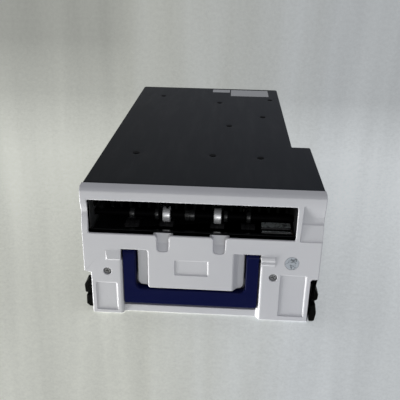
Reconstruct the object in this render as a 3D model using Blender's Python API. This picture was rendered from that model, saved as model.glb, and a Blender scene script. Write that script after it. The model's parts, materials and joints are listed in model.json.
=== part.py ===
"""Banknote cassette of a cash machine: a sheet-metal box with an L-shaped lid, a white moulded
front with a note mouth and a fold-flat carry handle, a roller and gear feed mechanism behind the
mouth, and a belt-driven stacker plate.

Axes: +X right, +Y from the front towards the rear, +Z up. The origin is the bottom centre of the
bounding box. Sizes are millimetres. Solids are drawn in x, depth and z, where depth is the
distance behind the front face. Cutters run a few millimetres past the faces they open.
"""

import math

import bmesh
import bpy
from mathutils import Matrix, Vector

MM = 0.001

# ---------------------------------------------------------------- driving dimensions
LENGTH = 413.0                        # overall, pivot housings to the lid's rear edge
HOUSING_PROUD = 1.5                   # how far the pivot housings stand in front of the face
FRONT = -LENGTH / 2 + HOUSING_PROUD   # Y of the front face
REAR = LENGTH - HOUSING_PROUD         # depth of the lid's rear edge
HEIGHT = 137.6                        # top of the lid
CLEARANCE = 0.3                       # general fit between parts

# Lid and body, both L-shaped in plan
LID_LEFT, LID_RIGHT = -112.3, 112.8
NOTCH_X, NOTCH_DEPTH = 92.6, 133.4    # the lid's rear right notch
LID_THICK, SKIRT_THICK, SKIRT_H = 1.5, 1.0, 10.0
WALL = 1.5
BODY_INSET = SKIRT_THICK + CLEARANCE
BODY_LEFT, BODY_RIGHT = LID_LEFT + BODY_INSET, LID_RIGHT - BODY_INSET
BODY_REAR = REAR - BODY_INSET
BODY_TOP = HEIGHT - LID_THICK - CLEARANCE
BOX_FRONT = 10.0                      # depth of the front edges of lid and body
COVER_SCREWS = (                      # x, depth
    (-76, 356), (-76, 99), (7, 325), (79, 348), (22, 211), (6, 98), (56.5, 95), (65, 256),
)
COVER_LABELS = {                      # x0, x1, depth0, depth1
    "cover_label_small": (-5.0, 21.0, 385.0, 402.5),
    "cover_label_large": (22.5, 78.0, 364.0, 402.5),
}

# Front moulding
BEZEL_HALF, BEZEL_LOW_HALF = 114.0, 107.5   # half widths above and below the step
STEP_Z = 47.0
BEZEL_BACK = 9.7                      # depth of the moulding's flange
SKIN = 3.0                            # thickness where it is hollow behind
MOUTH_LEFT, MOUTH_RIGHT, MOUTH_LOW, MOUTH_TOP = -107.5, 88.5, 89.3, 123.4
LIP = 2.0                             # thickness of the white edge round the mouth
SLOTS = ((-42.3, -30.9), (11.6, 22.9))   # x0, x1 of the roller slots under the mouth
TRAY_LEFT, TRAY_RIGHT, TRAY_TOP = -76.2, 57.2, 72.8
HUB_LEFT, HUB_RIGHT, HUB_LOW = -77.2, 57.7, 60.8   # the wider tray round the handle's hubs
PAD_LEFT, PAD_RIGHT, PAD_DEPTH = -61.9, 42.1, 6.5  # finger recesses beside the panel
PANEL_LEFT, PANEL_RIGHT, PANEL_LOW = -51.4, 31.4, 31.2
BEZEL_SCREWS = {"left": (-91.1, 48.2), "right": (70.2, 48.6)}   # x, z
STICKER_X, STICKER_Z = 87.0, 65.3

# Handle
HANDLE_LEFT, HANDLE_RIGHT, HANDLE_LOW = -75.8, 56.0, 12.0
HANDLE_ARM, HANDLE_BAR = 12.2, 17.0   # width of an arm, height of the bar
PIVOT = (6.0, 67.0)                   # handle axis: depth, z
HANDLE_END_R = 5.0                    # round of the arms' upper ends
PIN_R = 2.5
PIN_BORE_R = PIN_R + CLEARANCE

# Side latches
LATCH_X, LATCH_Z = 105.5, 21.5        # pivot: |x|, z
LATCH_PIN_R = 1.5
LATCH_BORE_R = LATCH_PIN_R + CLEARANCE

# Feed mechanism. Shaft centres are (depth, z).
GATE_R, FEED_R, PICK_R = 8.0, 12.0, 12.0
GATE = (33.0, 97.0)                   # metal idlers, above the feed nip
FEED = (GATE[0], GATE[1] - GATE_R - FEED_R - 0.3)
PICK = (70.0, 62.0)
IDLERS_X = {"left": -36.0, "right": 14.3}
FEED_X = (-70.0, -36.0, 14.3, 44.6)
PICK_X = {"left": -40.0, "right": 20.0}
SHAFT_R = 3.0
SHAFT_BORE_R = SHAFT_R + CLEARANCE
SHAFT_RIGHT = 101.5
PLATE_LEFT, PLATE_RIGHT = -109.2, 89.0   # left faces of the two mechanism plates
PLATE_THICK = 1.4
GUIDE_LEFT, GUIDE_RIGHT = -106.0, 87.0   # ends of the note guides

# Gears
MODULE = 1.0
SHAFT_TEETH, INPUT_TEETH = 20, 30
GEAR_PLAY = 0.3                       # added to each centre distance
GEAR_LEFT, GEAR_RIGHT = 94.0, 100.0
IDLER_REACH = MODULE * SHAFT_TEETH + GEAR_PLAY
INPUT = (PICK[0] + MODULE * (SHAFT_TEETH + INPUT_TEETH) / 2 + GEAR_PLAY, PICK[1])
INPUT_SHAFT_R = 4.0
INPUT_BORE_R = INPUT_SHAFT_R + CLEARANCE

# Stacker
STACKER_DEPTH = 240.0                 # stacker plate at rest
STACKER_THICK = 3.0
ROD_X, ROD_Z, ROD_R = {"left": -66.0, "right": 50.0}, 12.0, 3.0
PULLEY_DEPTH, PULLEY_Z, PULLEY_R = {"front": 122.0, "rear": 394.0}, 70.0, 8.0


# ---------------------------------------------------------------- outlines
def rounded(points, radius=0.0, steps=3, radii=None):
    """The closed polygon with its corners rounded. radii gives one radius for each corner."""
    out = []
    count = len(points)
    for i, point in enumerate(points):
        r = radii[i] if radii else radius
        here = Vector(point)
        before = Vector(points[i - 1]) - here
        after = Vector(points[(i + 1) % count]) - here
        if r <= 0:
            out.append((here.x, here.y))
            continue
        to_before, to_after = before.normalized(), after.normalized()
        angle = to_before.angle(to_after)
        reach = r / math.tan(angle / 2)
        centre = here + (to_before + to_after).normalized() * (r / math.sin(angle / 2))
        start = here + to_before * reach - centre
        end = here + to_after * reach - centre
        turn = start.angle(end)
        sign = 1.0 if start.x * end.y - start.y * end.x > 0 else -1.0
        for k in range(steps + 1):
            t = sign * turn * k / steps
            out.append(
                (
                    centre.x + start.x * math.cos(t) - start.y * math.sin(t),
                    centre.y + start.x * math.sin(t) + start.y * math.cos(t),
                )
            )
    return out


def rect(a0, a1, b0, b1):
    return [(a0, b0), (a1, b0), (a1, b1), (a0, b1)]


def turned_rect(centre, half_long, half_wide, angle):
    c, s = math.cos(angle), math.sin(angle)
    return [
        (centre[0] + c * u - s * v, centre[1] + s * u + c * v)
        for u, v in rect(-half_long, half_long, -half_wide, half_wide)
    ]


def arc(centre, radius_a, radius_b, first, last, steps=6):
    """Points along an elliptical arc from the first angle to the last, both included."""
    angles = [first + (last - first) * k / steps for k in range(steps + 1)]
    return [
        (centre[0] + radius_a * math.cos(t), centre[1] + radius_b * math.sin(t)) for t in angles
    ]


def mirrored(points, sign):
    return [(sign * a, b) for a, b in points]


def box_plan(inset, front):
    """The lid's L-shaped plan (x, depth), moved inwards by inset, from the given front depth."""
    left, right = LID_LEFT + inset, LID_RIGHT - inset
    step_x, step_depth = NOTCH_X - inset, NOTCH_DEPTH - inset
    rear = REAR - inset
    return [
        (left, front), (right, front), (right, step_depth),
        (step_x, step_depth), (step_x, rear), (left, rear),
    ]


# ---------------------------------------------------------------- solids
def place(axis, a, b, c):
    """A point of a profile (a, b) at c along the axis, as x, depth, z."""
    if axis == "x":
        return (c, a, b)
    if axis == "y":
        return (a, c, b)
    return (a, b, c)


def bridge(bm, one, two):
    """Quads between two rings of as many vertices."""
    for i in range(len(one)):
        j = (i + 1) % len(one)
        bm.faces.new((one[i], one[j], two[j], two[i]))


def prism(points, axis, lo, hi):
    """The polygon pushed along an axis: its points are (depth, z), (x, z) or (x, depth)."""
    bm = bmesh.new()
    low = [bm.verts.new(place(axis, a, b, lo)) for a, b in points]
    high = [bm.verts.new(place(axis, a, b, hi)) for a, b in points]
    bm.faces.new(low)
    bm.faces.new(high)
    bridge(bm, low, high)
    bmesh.ops.recalc_face_normals(bm, faces=bm.faces)
    return bm


def dish(x0, x1, z0, z1, depth, lean):
    """A shallow recess. lean says how far its left, right, lower and upper walls run out."""
    bm = bmesh.new()
    loops = []
    for y, share in ((depth, 0.0), (-1.0, (depth + 1.0) / depth)):
        left, right, low, high = (side * share for side in lean)
        points = rounded(rect(x0 - left, x1 + right, z0 - low, z1 + high), 0.8, 2)
        loops.append([bm.verts.new(place("y", a, b, y)) for a, b in points])
        bm.faces.new(loops[-1])
    bridge(bm, *loops)
    bmesh.ops.recalc_face_normals(bm, faces=bm.faces)
    return bm


def lathe(profile, axis, centre, segments=20, bored=False):
    """A turned solid. profile holds (position along axis, radius); a bored one is a closed loop."""
    bm = bmesh.new()
    turns = [2 * math.pi * i / segments for i in range(segments)]
    rings = []
    for along, r in profile:
        if r <= 0:
            rings.append([bm.verts.new(place(axis, *centre, along))])
            continue
        points = [(centre[0] + r * math.cos(t), centre[1] + r * math.sin(t)) for t in turns]
        rings.append([bm.verts.new(place(axis, a, b, along)) for a, b in points])
    pairs = list(zip(rings, rings[1:]))
    if bored:
        pairs.append((rings[-1], rings[0]))
    for one, two in pairs:
        if len(one) > 1 and len(two) > 1:
            bridge(bm, one, two)
            continue
        for i in range(segments):
            j = (i + 1) % segments
            if len(one) == 1:
                bm.faces.new((one[0], two[j], two[i]))
            else:
                bm.faces.new((one[i], one[j], two[0]))
    bmesh.ops.recalc_face_normals(bm, faces=bm.faces)
    return bm


def rod(axis, centre, r, lo, hi, segments=16):
    return lathe([(lo, 0), (lo, r), (hi, r), (hi, 0)], axis, centre, segments)


def roller(x, half_profile, centre, segments):
    """A bored roller about x. half_profile holds (distance from x, radius), bore first."""
    profile = [(x - along, r) for along, r in half_profile]
    profile += [(x + along, r) for along, r in reversed(half_profile)]
    return lathe(profile, "x", centre, segments, bored=True)


# ---------------------------------------------------------------- objects
def world(x, depth, z):
    return (x, FRONT + depth, z)


def to_mesh(name, bm, origin):
    mesh = bpy.data.meshes.new(name)
    shift = Vector((0.0, FRONT, 0.0)) - Vector(origin)
    for vert in bm.verts:
        vert.co = (vert.co + shift) * MM
    bm.to_mesh(mesh)
    bm.free()
    return mesh


def set_parent(obj, parent):
    """Parents without moving. The parent, if any, is an unrotated empty."""
    if parent is not None:
        obj.parent = parent
        obj.matrix_parent_inverse = Matrix.Translation(-parent.location)


def solid(name, bm, mat, origin=(0.0, 0.0, 0.0), parent=None):
    """One piece. origin is its own origin, in millimetres in the cassette's frame."""
    obj = bpy.data.objects.new(name, to_mesh(name, bm, origin))
    bpy.context.scene.collection.objects.link(obj)
    obj.location = Vector(origin) * MM
    obj.data.materials.append(mat)
    obj.data.shade_smooth()
    obj.data.set_sharp_from_angle(angle=math.radians(35))
    set_parent(obj, parent)
    return obj


def pivot(name, origin):
    empty = bpy.data.objects.new(name, None)
    empty.empty_display_size = 0.01
    empty.location = Vector(origin) * MM
    bpy.context.scene.collection.objects.link(empty)
    return empty


def combine(target, bm, operation):
    """Adds a Boolean with a hidden helper solid."""
    name = "cutter_%s_%d" % (target.name, len(target.modifiers))
    helper = bpy.data.objects.new(name, to_mesh(name, bm, (0.0, 0.0, 0.0)))
    bpy.context.scene.collection.objects.link(helper)
    helper.hide_render = True
    helper.display_type = "WIRE"
    set_parent(helper, target.parent)
    step = target.modifiers.new(name, "BOOLEAN")
    step.operation = operation
    step.object = helper
    step.solver = "EXACT"


def cut(target, *solids):
    for bm in solids:
        combine(target, bm, "DIFFERENCE")


def add(target, *solids):
    for bm in solids:
        combine(target, bm, "UNION")


# ---------------------------------------------------------------- finishes
def clear_scene():
    for obj in list(bpy.data.objects):
        bpy.data.objects.remove(obj, do_unlink=True)


def material(name, colour, roughness, metallic=0.0):
    mat = bpy.data.materials.new(name)
    mat.use_nodes = True
    shader = mat.node_tree.nodes["Principled BSDF"]
    shader.inputs["Base Color"].default_value = (*colour, 1.0)
    shader.inputs["Roughness"].default_value = roughness
    shader.inputs["Metallic"].default_value = metallic
    mat.diffuse_color = (*colour, 1.0)
    return mat


clear_scene()
white_abs = material("white_abs", colour=(0.62, 0.62, 0.65), roughness=0.42)
navy_abs = material("navy_abs", colour=(0.006, 0.010, 0.055), roughness=0.38)
charcoal_coat = material(
    "charcoal_coat", colour=(0.028, 0.029, 0.034), roughness=0.42, metallic=0.2
)
black_acetal = material("black_acetal", colour=(0.010, 0.011, 0.012), roughness=0.35)
black_rubber = material("black_rubber", colour=(0.012, 0.012, 0.013), roughness=0.8)
bright_steel = material("bright_steel", colour=(0.72, 0.73, 0.75), roughness=0.22, metallic=1.0)
plated_steel = material("plated_steel", colour=(0.48, 0.49, 0.50), roughness=0.38, metallic=1.0)
dark_steel = material("dark_steel", colour=(0.10, 0.10, 0.11), roughness=0.45, metallic=0.9)
white_acetal = material("white_acetal", colour=(0.70, 0.70, 0.66), roughness=0.5)
label_paper = material("label_paper", colour=(0.66, 0.67, 0.69), roughness=0.5)
sticker_film = material("sticker_film", colour=(0.42, 0.48, 0.52), roughness=0.45)
board_green = material("board_green", colour=(0.02, 0.12, 0.05), roughness=0.5)
bronze = material("bronze", colour=(0.45, 0.30, 0.14), roughness=0.4, metallic=1.0)


# ---------------------------------------------------------------- box and lid
def build_body():
    body = solid("body_shell", prism(box_plan(BODY_INSET, BOX_FRONT), "z", 0.0, BODY_TOP), charcoal_coat)
    # The inside is open at the top and at the front.
    cut(body, prism(box_plan(BODY_INSET + WALL, 5.0), "z", WALL, BODY_TOP + 5))
    # Latch windows in both side walls, at the front.
    for x0, x1 in (
        (BODY_LEFT - 5, BODY_LEFT + WALL + 0.5),
        (BODY_RIGHT - WALL - 0.5, BODY_RIGHT + 5),
    ):
        cut(body, prism(rect(x0, x1, 5.0, 34.0), "z", WALL + 0.4, 45.0))
    # Drive coupling hole.
    cut(body, rod("x", INPUT, 11.0, BODY_RIGHT - 4, BODY_RIGHT + 4, 24))
    # Rear connector opening.
    opening = rounded(rect(39.6, 80.4, 21.6, 44.4), 1.0, 2)
    cut(body, prism(opening, "y", BODY_REAR - 6, BODY_REAR + 4))
    # Two shallow beads along the floor.
    for x in (-72.0, 52.0):
        cut(body, prism(rounded(rect(x - 5, x + 5, 60, 380), 4.9, 4), "z", -1.0, 0.6))


def build_lid():
    skirt_low = HEIGHT - SKIRT_H
    plan = rounded(box_plan(0.0, BOX_FRONT), radii=(0, 0, 1.5, 1.5, 1.5, 1.5))
    lid = solid("top_cover", prism(plan, "z", skirt_low, HEIGHT), charcoal_coat)
    cut(lid, prism(box_plan(SKIRT_THICK, 5.0), "z", skirt_low - 5, HEIGHT - LID_THICK))
    countersink = [(HEIGHT - 1.8, 0), (HEIGHT - 1.8, 1.9), (HEIGHT + 0.2, 4.1), (HEIGHT + 0.2, 0)]
    for centre in COVER_SCREWS:
        cut(lid, lathe(countersink, "z", centre, 10))
    margin = 0.3
    for x0, x1, y0, y1 in COVER_LABELS.values():
        recess = rect(x0 - margin, x1 + margin, y0 - margin, y1 + margin)
        cut(lid, prism(recess, "z", HEIGHT - 0.6, HEIGHT + 2))


def build_lid_fittings():
    screw = [
        (126.5, 0), (126.5, 1.5), (HEIGHT - 1.5, 1.5), (HEIGHT - 0.2, 3.4), (HEIGHT - 0.2, 0),
    ]
    for i, centre in enumerate(COVER_SCREWS, 1):
        solid("cover_screw_%d" % i, lathe(screw, "z", centre, 10), dark_steel)
    sheet = prism(rect(-86, 86, 88, 366), "z", BODY_TOP - 1.5, BODY_TOP)
    stiffener = solid("cover_stiffener", sheet, plated_steel)
    for x0, x1 in ((-66, 10), (34, 52)):
        cut(stiffener, prism(rounded(rect(x0, x1, 112, 308), 4.0, 2), "z", 120, 140))
    for centre in COVER_SCREWS:
        cut(stiffener, rod("z", centre, 1.8, 120, 140, 8))
    for name, sides in COVER_LABELS.items():
        solid(name, prism(rounded(rect(*sides), 1.0, 2), "z", HEIGHT - 0.3, HEIGHT), label_paper)


# ---------------------------------------------------------------- front moulding
# Pivot housings (depth, z): low rounded bosses standing proud of the face, the right one stepped.
HOUSING_L = [
    (3, 60.6), (0.2, 60.6), (-0.1, 60.9), (-1.45, 62.6),
    (-1.5, 63.3), (-0.3, 71.2), (0.2, 72.3), (3, 72.3),
]
HOUSING_R = [
    (3, 60.2), (0.2, 60.2), (0.0, 60.6), (-1.3, 63.4), (-1.4, 64.1), (-0.5, 65.3), (-0.5, 65.8),
    (-1.45, 67.9), (-1.5, 68.8), (-1.1, 70.4), (0.2, 72.0), (3, 72.0),
]
# What comes off the left housing's outer end (x, depth).
HOUSING_END = [(-94.0, -3.0), (-90.1, -3.0), (-90.3, -1.8), (-91.9, 0.0), (-94.0, 0.0)]
# What comes off the top edge to leave the sloping cap (depth, z).
CAP = [
    (-3, 131.6), (0, 131.6), (0.35, 133.0), (1.3, 133.9),
    (BEZEL_BACK + 0.3, HEIGHT), (BEZEL_BACK + 0.3, HEIGHT + 4), (-3, HEIGHT + 4),
]
# Rising floor at the lower end of a roller slot (depth, z).
SLOT_FLOOR = [(6.6, 71.0), (6.6, 79.8), (6.0, 79.4), (1.6, 72.9), (1.2, 72.2), (1.2, 71.0)]
# Label recesses: x0, x1, z0, z1, depth, lean.
LABEL_RECESSES = (
    (-25.2, 6.2, 47.1, 62.7, 1.0, (0.1, 1.4, 0.1, 0.7)),
    (-103.0, -83.1, 4.0, 34.6, 1.2, (0.1, 1.5, 0.2, 1.1)),
    (77.2, 101.1, 5.5, 51.2, 1.2, (0.1, 1.5, 0.2, 0.9)),
)
# Guide scoops (depth, z): a wide one right of the mouth, a small one in the thin left wall.
SCOOP_R = [
    (-3, 127.0), (0, 126.0), (4.1, 113.2), (4.6, 112.2),
    (4.6, 106.2), (3.2, 105.2), (0.9, 88.5), (-3, 88.5),
]
SCOOP_L = [(-3, 122.0), (0, 121.4), (3.4, 111.2), (3.4, 108.2), (0, 96.0), (-3, 95.4)]


def bezel_block():
    half, low = BEZEL_HALF, BEZEL_LOW_HALF
    outline = [
        (-low, 0), (low, 0), (low, STEP_Z), (half, STEP_Z + 0.4),
        (half, HEIGHT), (-half, HEIGHT), (-half, STEP_Z + 0.4), (-low, STEP_Z - 1.2),
    ]
    outline = rounded(outline, radii=(1.2, 1.2, 0.8, 0.8, 2.5, 2.5, 0.8, 0.8), steps=2)
    bezel = solid("front_bezel", prism(outline, "y", 0.0, BEZEL_BACK), white_abs)
    # The block behind the flange that holds the handle tray.
    block = rounded(rect(-84.0, 62.5, 2.4, 76.0), 2.0, 2)
    add(bezel, prism(block, "y", BEZEL_BACK - 1.0, 18.0))
    add(bezel, prism(HOUSING_L, "x", -92.2, -77.0), prism(HOUSING_R, "x", 57.6, 71.2))
    cut(bezel, prism(HOUSING_END, "z", 58.0, 75.0))
    cut(bezel, prism(CAP, "x", -half - 5, half + 5))
    return bezel


def cut_mouth(bezel):
    """The note mouth, opened up behind its thin white edge for the black guides."""
    mouth = rect(MOUTH_LEFT, MOUTH_RIGHT, MOUTH_LOW, MOUTH_TOP)
    back = 25
    cut(bezel, prism(rounded(mouth, 1.5), "y", -5, back))
    left, right = MOUTH_LEFT - 1.5, MOUTH_RIGHT + 1.5
    low, top = MOUTH_LOW - 1.5, MOUTH_TOP + 1.5
    # The lower edge is thicker above the roller slots. Spans are x0, x1, edge thickness.
    spans, start = [], left
    for x0, x1 in SLOTS:
        spans += [(start, x0 - 3.6, LIP), (x0 - 3.7, x1 + 3.7, 6.8)]
        start = x1 + 3.6
    spans.append((start, right, LIP))
    for x0, x1, thick in spans:
        cut(bezel, prism(rect(x0, x1, low, MOUTH_LOW + 3), "y", thick, back))
    cut(bezel, prism(rect(left, MOUTH_LEFT + 2, low, top), "y", 3.8, back))
    cut(bezel, prism(rect(MOUTH_RIGHT - 2, right, low, top), "y", LIP, back))
    cut(bezel, prism(rect(left, right, MOUTH_TOP - 3, top), "y", LIP, back))


def cut_tray(bezel):
    """A deep U for the handle, shallow finger recesses inside it, and the centre panel."""
    foot_x = TRAY_RIGHT - 1.9     # the right leg is narrower at its foot
    tray = [
        (TRAY_LEFT, 8.0), (foot_x, 8.0), (foot_x, 11.2), (TRAY_RIGHT, 11.2),
        (TRAY_RIGHT, HUB_LOW), (HUB_RIGHT, HUB_LOW), (HUB_RIGHT, TRAY_TOP),
        (PAD_RIGHT, TRAY_TOP), (PAD_RIGHT, PANEL_LOW), (PAD_LEFT, PANEL_LOW),
        (PAD_LEFT, TRAY_TOP), (HUB_LEFT, TRAY_TOP), (HUB_LEFT, HUB_LOW), (TRAY_LEFT, HUB_LOW),
    ]
    radii = (0, 0, 0, 0, 0, 0, 0.8, 0, 5.2, 5.2, 0, 0.8, 0, 0)
    cut(bezel, prism(rounded(tray, radii=radii, steps=4), "y", -5, 15.0))
    # Left finger recess.
    recess_left, recess_low = PAD_LEFT - 1.1, PANEL_LOW - 1
    recess = [
        (recess_left, recess_low), (PANEL_LEFT + 2.5, recess_low), (PANEL_LEFT + 2.5, PANEL_LOW),
        (PANEL_LEFT, PANEL_LOW), (PANEL_LEFT, TRAY_TOP), (recess_left, TRAY_TOP),
    ]
    recess = rounded(recess, radii=(0, 0, 0, 2.4, 2.4, 0), steps=4)
    cut(bezel, prism(recess, "y", -5, PAD_DEPTH))
    # Right finger recess (x, depth): the panel's right edge falls away in a wide curve.
    slope = [
        (PANEL_RIGHT - 0.4, -6), (PAD_RIGHT + 1.1, -6), (PAD_RIGHT + 1.1, PAD_DEPTH),
        (37.4, PAD_DEPTH), (35.7, 5.7), (34.2, 4.2), (32.6, 1.9), (31.8, 0.7),
        (PANEL_RIGHT - 0.4, 0.0),
    ]
    cut(bezel, prism(slope, "z", recess_low, TRAY_TOP))
    # The outer walls of both legs turn into the tray with rounded edges (x, depth).
    edge = 3.0
    leg = [(TRAY_LEFT - edge, -6), (TRAY_LEFT + 0.2, -6), (TRAY_LEFT + 0.2, edge)]
    leg += arc((TRAY_LEFT - edge, edge), edge, edge, 0, -math.pi / 2)
    cut(bezel, prism(leg, "z", -5, HUB_LOW))
    leg = [(TRAY_RIGHT + edge, -6), (TRAY_RIGHT - 0.2, -6), (TRAY_RIGHT - 0.2, edge)]
    leg += arc((TRAY_RIGHT + edge, edge), edge, edge, math.pi, 1.5 * math.pi)
    cut(bezel, prism(leg, "z", -5, HUB_LOW - 0.6))
    foot = [
        (TRAY_RIGHT + 0.1, -6), (TRAY_RIGHT + 0.1, 3.0),
        (foot_x, 5.0), (foot_x - 1.0, 5.0), (foot_x - 1.0, -6),
    ]
    cut(bezel, prism(foot, "z", -5, 11.5))
    # The low sill at the tray's open bottom, set back behind the face (x, depth).
    sill = [
        (TRAY_LEFT - 0.5, 1.3), (TRAY_LEFT - 0.5, -6), (TRAY_RIGHT + 0.5, -6),
        (TRAY_RIGHT + 0.5, 1.3), (TRAY_RIGHT, 1.3), (TRAY_RIGHT, 3.0), (foot_x, 5.0),
    ]
    sill += arc((TRAY_LEFT + 4.5, 3.0), 4.5, 2.0, math.pi / 2, math.pi)
    sill.append((TRAY_LEFT, 1.3))
    cut(bezel, prism(sill, "z", -5, 8.4))


def cut_slots(bezel):
    """Clearance slots under the mouth for the machine's rollers, flared at the top."""
    flare = 2.2
    for x0, x1 in SLOTS:
        slot = [
            (x0, 72.0), (x1, 72.0), (x1, 87.0), (x1 + flare, 89.6),
            (x1 + flare, 92.0), (x0 - flare, 92.0), (x0 - flare, 89.6), (x0, 87.0),
        ]
        slot = rounded(slot, radii=(3.5, 3.5, 0, 0, 0, 0, 0, 0), steps=4)
        cut(bezel, prism(slot, "y", -5, 6.0))
        add(bezel, prism(SLOT_FLOOR, "x", x0 - 0.4, x1 + 0.4))


def build_bezel():
    bezel = bezel_block()
    cut_mouth(bezel)
    cut_tray(bezel)
    cut_slots(bezel)
    for recess in LABEL_RECESSES:
        cut(bezel, dish(*recess))
    cut(bezel, rod("y", (STICKER_X, STICKER_Z), 6.9, -5, 0.6, 28))
    cut(bezel, prism(SCOOP_R, "x", 93.0, BEZEL_HALF + 5))
    cut(bezel, prism(SCOOP_L, "x", -BEZEL_HALF - 5, MOUTH_LEFT + 1))
    # Screw pockets and holes.
    for centre in BEZEL_SCREWS.values():
        cut(bezel, rod("y", centre, 3.9, -5, 4.5, 20), rod("y", centre, 1.9, 4.0, 12, 12))
    # Bores for the handle's pins.
    for x0, x1 in ((-98.0, -77.0), (57.5, 78.3)):
        cut(bezel, rod("x", PIVOT, PIN_BORE_R, x0, x1))
    # The hollows behind the skin that take the side latches.
    for x0, x1 in ((-115.0, -98.0), (98.0, 115.0)):
        cut(bezel, prism(rect(x0, x1, SKIN, 15.0), "z", 2.0, 43.5))


def build_bezel_fittings():
    profile = [
        (1.6, 0), (1.6, 2.9), (2.0, 3.4), (4.2, 3.4), (4.2, 1.55), (17.0, 1.55), (17.0, 0),
    ]
    cross_turn = 0.35
    for side, centre in BEZEL_SCREWS.items():
        screw = solid("bezel_screw_" + side, lathe(profile, "y", centre), dark_steel)
        for turn in (cross_turn, cross_turn + math.pi / 2):
            cut(screw, prism(turned_rect(centre, 2.1, 0.4, turn), "y", 0.0, 3.0))
    solid("qc_sticker", rod("y", (STICKER_X, STICKER_Z), 6.6, 0.0, 0.3, 28), sticker_film)


# ---------------------------------------------------------------- handle
def build_handle():
    left, right, low = HANDLE_LEFT, HANDLE_RIGHT, HANDLE_LOW
    pivot_depth, pivot_z = PIVOT
    axis = pivot("handle_axis", world((left + right) / 2, *PIVOT))
    top = pivot_z + HANDLE_END_R
    inner_left, inner_right = left + HANDLE_ARM, right - HANDLE_ARM
    bar_top = low + HANDLE_BAR
    outline = [
        (left, low), (right, low), (right, top), (inner_right, top),
        (inner_right, bar_top), (inner_left, bar_top), (inner_left, top), (left, top),
    ]
    outline = rounded(outline, radii=(1.2, 1.2, 0.6, 2.6, 5.5, 5.5, 2.6, 0.6), steps=4)
    block = prism(outline, "y", 1.0, 11.0)
    handle = solid("carry_handle", block, navy_abs, world(0, *PIVOT), axis)
    # Thin hubs on the outside of both arms, and the arms' upper ends round about the axis, so
    # that the handle clears the tray as it swings.
    for x0, x1 in ((left - 1.1, left + 2.0), (right - 2.0, right + 1.0)):
        add(handle, rod("x", PIVOT, 4.98, x0, x1, 40))
    ends = [(-1.0, 75.0), (-1.0, pivot_z)]
    ends += arc((pivot_depth, pivot_z), HANDLE_END_R, HANDLE_END_R, math.pi, 0, 10)
    ends += [(13.0, pivot_z), (13.0, 75.0)]
    cut(handle, prism(ends, "x", left - 5, right + 5))
    for x0, x1 in ((left - 5, left + 9.5), (right - 9.5, right + 5)):
        cut(handle, rod("x", PIVOT, PIN_BORE_R, x0, x1))
    # A hollow along the back of the bar for the fingers.
    hollow = rounded(rect(left + 16, right - 16, low + 3.5, bar_top - 3.5), 2.0)
    cut(handle, prism(hollow, "y", 5.0, 14.0))
    solid("handle_pin_left", rod("x", PIVOT, PIN_R, -97.5, left + 9.0), bright_steel)
    solid("handle_pin_right", rod("x", PIVOT, PIN_R, right - 9.0, 78.0), bright_steel)


# ---------------------------------------------------------------- side latches and guides
# Outlines (|x|, z) of the latch hooks, and of the guide lobes below them.
HOOKS = {
    "left": [
        (103.4, 38.0), (110.0, 38.6), (115.6, 29.6), (115.1, 21.2), (109.5, 20.1), (103.4, 19.6),
    ],
    "right": [
        (103.4, 38.0), (110.9, 38.9), (115.6, 30.2), (115.2, 24.3),
        (112.6, 22.5), (109.6, 21.8), (108.4, 19.8), (103.4, 19.6),
    ],
}
LOBES = {
    "left": [(103.4, 18.9), (114.2, 18.0), (114.5, 7.6), (111.3, 4.6), (103.4, 4.4)],
    "right": [
        (103.4, 18.9), (108.9, 18.9), (109.9, 20.8), (112.5, 21.2), (113.6, 19.0),
        (115.2, 9.8), (114.1, 3.4), (112.2, 2.6), (103.4, 2.6),
    ],
}
# The right guide's nose reaches forward past the moulding's edge (x, z).
NOSE = [
    (108.2, 18.4), (112.2, 20.0), (113.3, 18.6), (114.9, 9.8), (113.7, 1.5), (111.8, 0.5),
    (108.2, 0.5),
]
# What comes off the hook's top, so that it falls away backwards (depth, z).
HOOK_SLOPE = [(4.4, 41.0), (4.4, 38.2), (13.0, 30.8), (24.0, 29.6), (24.0, 41.0)]


def build_latch(side, sign):
    centre = (sign * LATCH_X, LATCH_Z)
    origin = world(centre[0], 0, centre[1])
    axis = pivot("side_latch_%s_axis" % side, origin)
    points = HOOKS[side]
    radii = [1.5, 1.2, 1.2, 0.8] + [0.6] * (len(points) - 6) + [0, 1.5]
    hook = prism(rounded(mirrored(points, sign), radii=radii, steps=2), "y", 3.4, 22.5)
    latch = solid("side_latch_" + side, hook, black_acetal, origin, axis)
    cut(latch, prism(HOOK_SLOPE, "x", sign * 100.0, sign * 120.0))
    cut(latch, rod("y", centre, LATCH_BORE_R, 0, 30, 12))
    solid("latch_pin_" + side, rod("y", centre, LATCH_PIN_R, 3.8, 30.6, 12), bright_steel)


def build_side_guide(side, sign):
    points = LOBES[side]
    radii = [0] + [0.8] * (len(points) - 2) + [0]
    lobe = prism(rounded(mirrored(points, sign), radii=radii, steps=2), "y", 3.4, 31.5)
    guide = solid("side_guide_" + side, lobe, black_acetal)
    if side == "right":
        add(guide, prism(rounded(NOSE, 0.8, 2), "y", 0.7, 9.4))
    # The knuckle behind the latch holds the rear end of its pin.
    knuckle = mirrored(rect(102.2, 109.0, 10.0, 26.0), sign)
    add(guide, prism(rounded(knuckle, radii=(0, 0, 3.0, 3.0)), "y", 22.9, 31.5))
    cut(guide, rod("y", (sign * LATCH_X, LATCH_Z), LATCH_BORE_R, 21, 31.0, 12))


def build_latches():
    for side, sign in (("left", -1.0), ("right", 1.0)):
        build_latch(side, sign)
        build_side_guide(side, sign)


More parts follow.
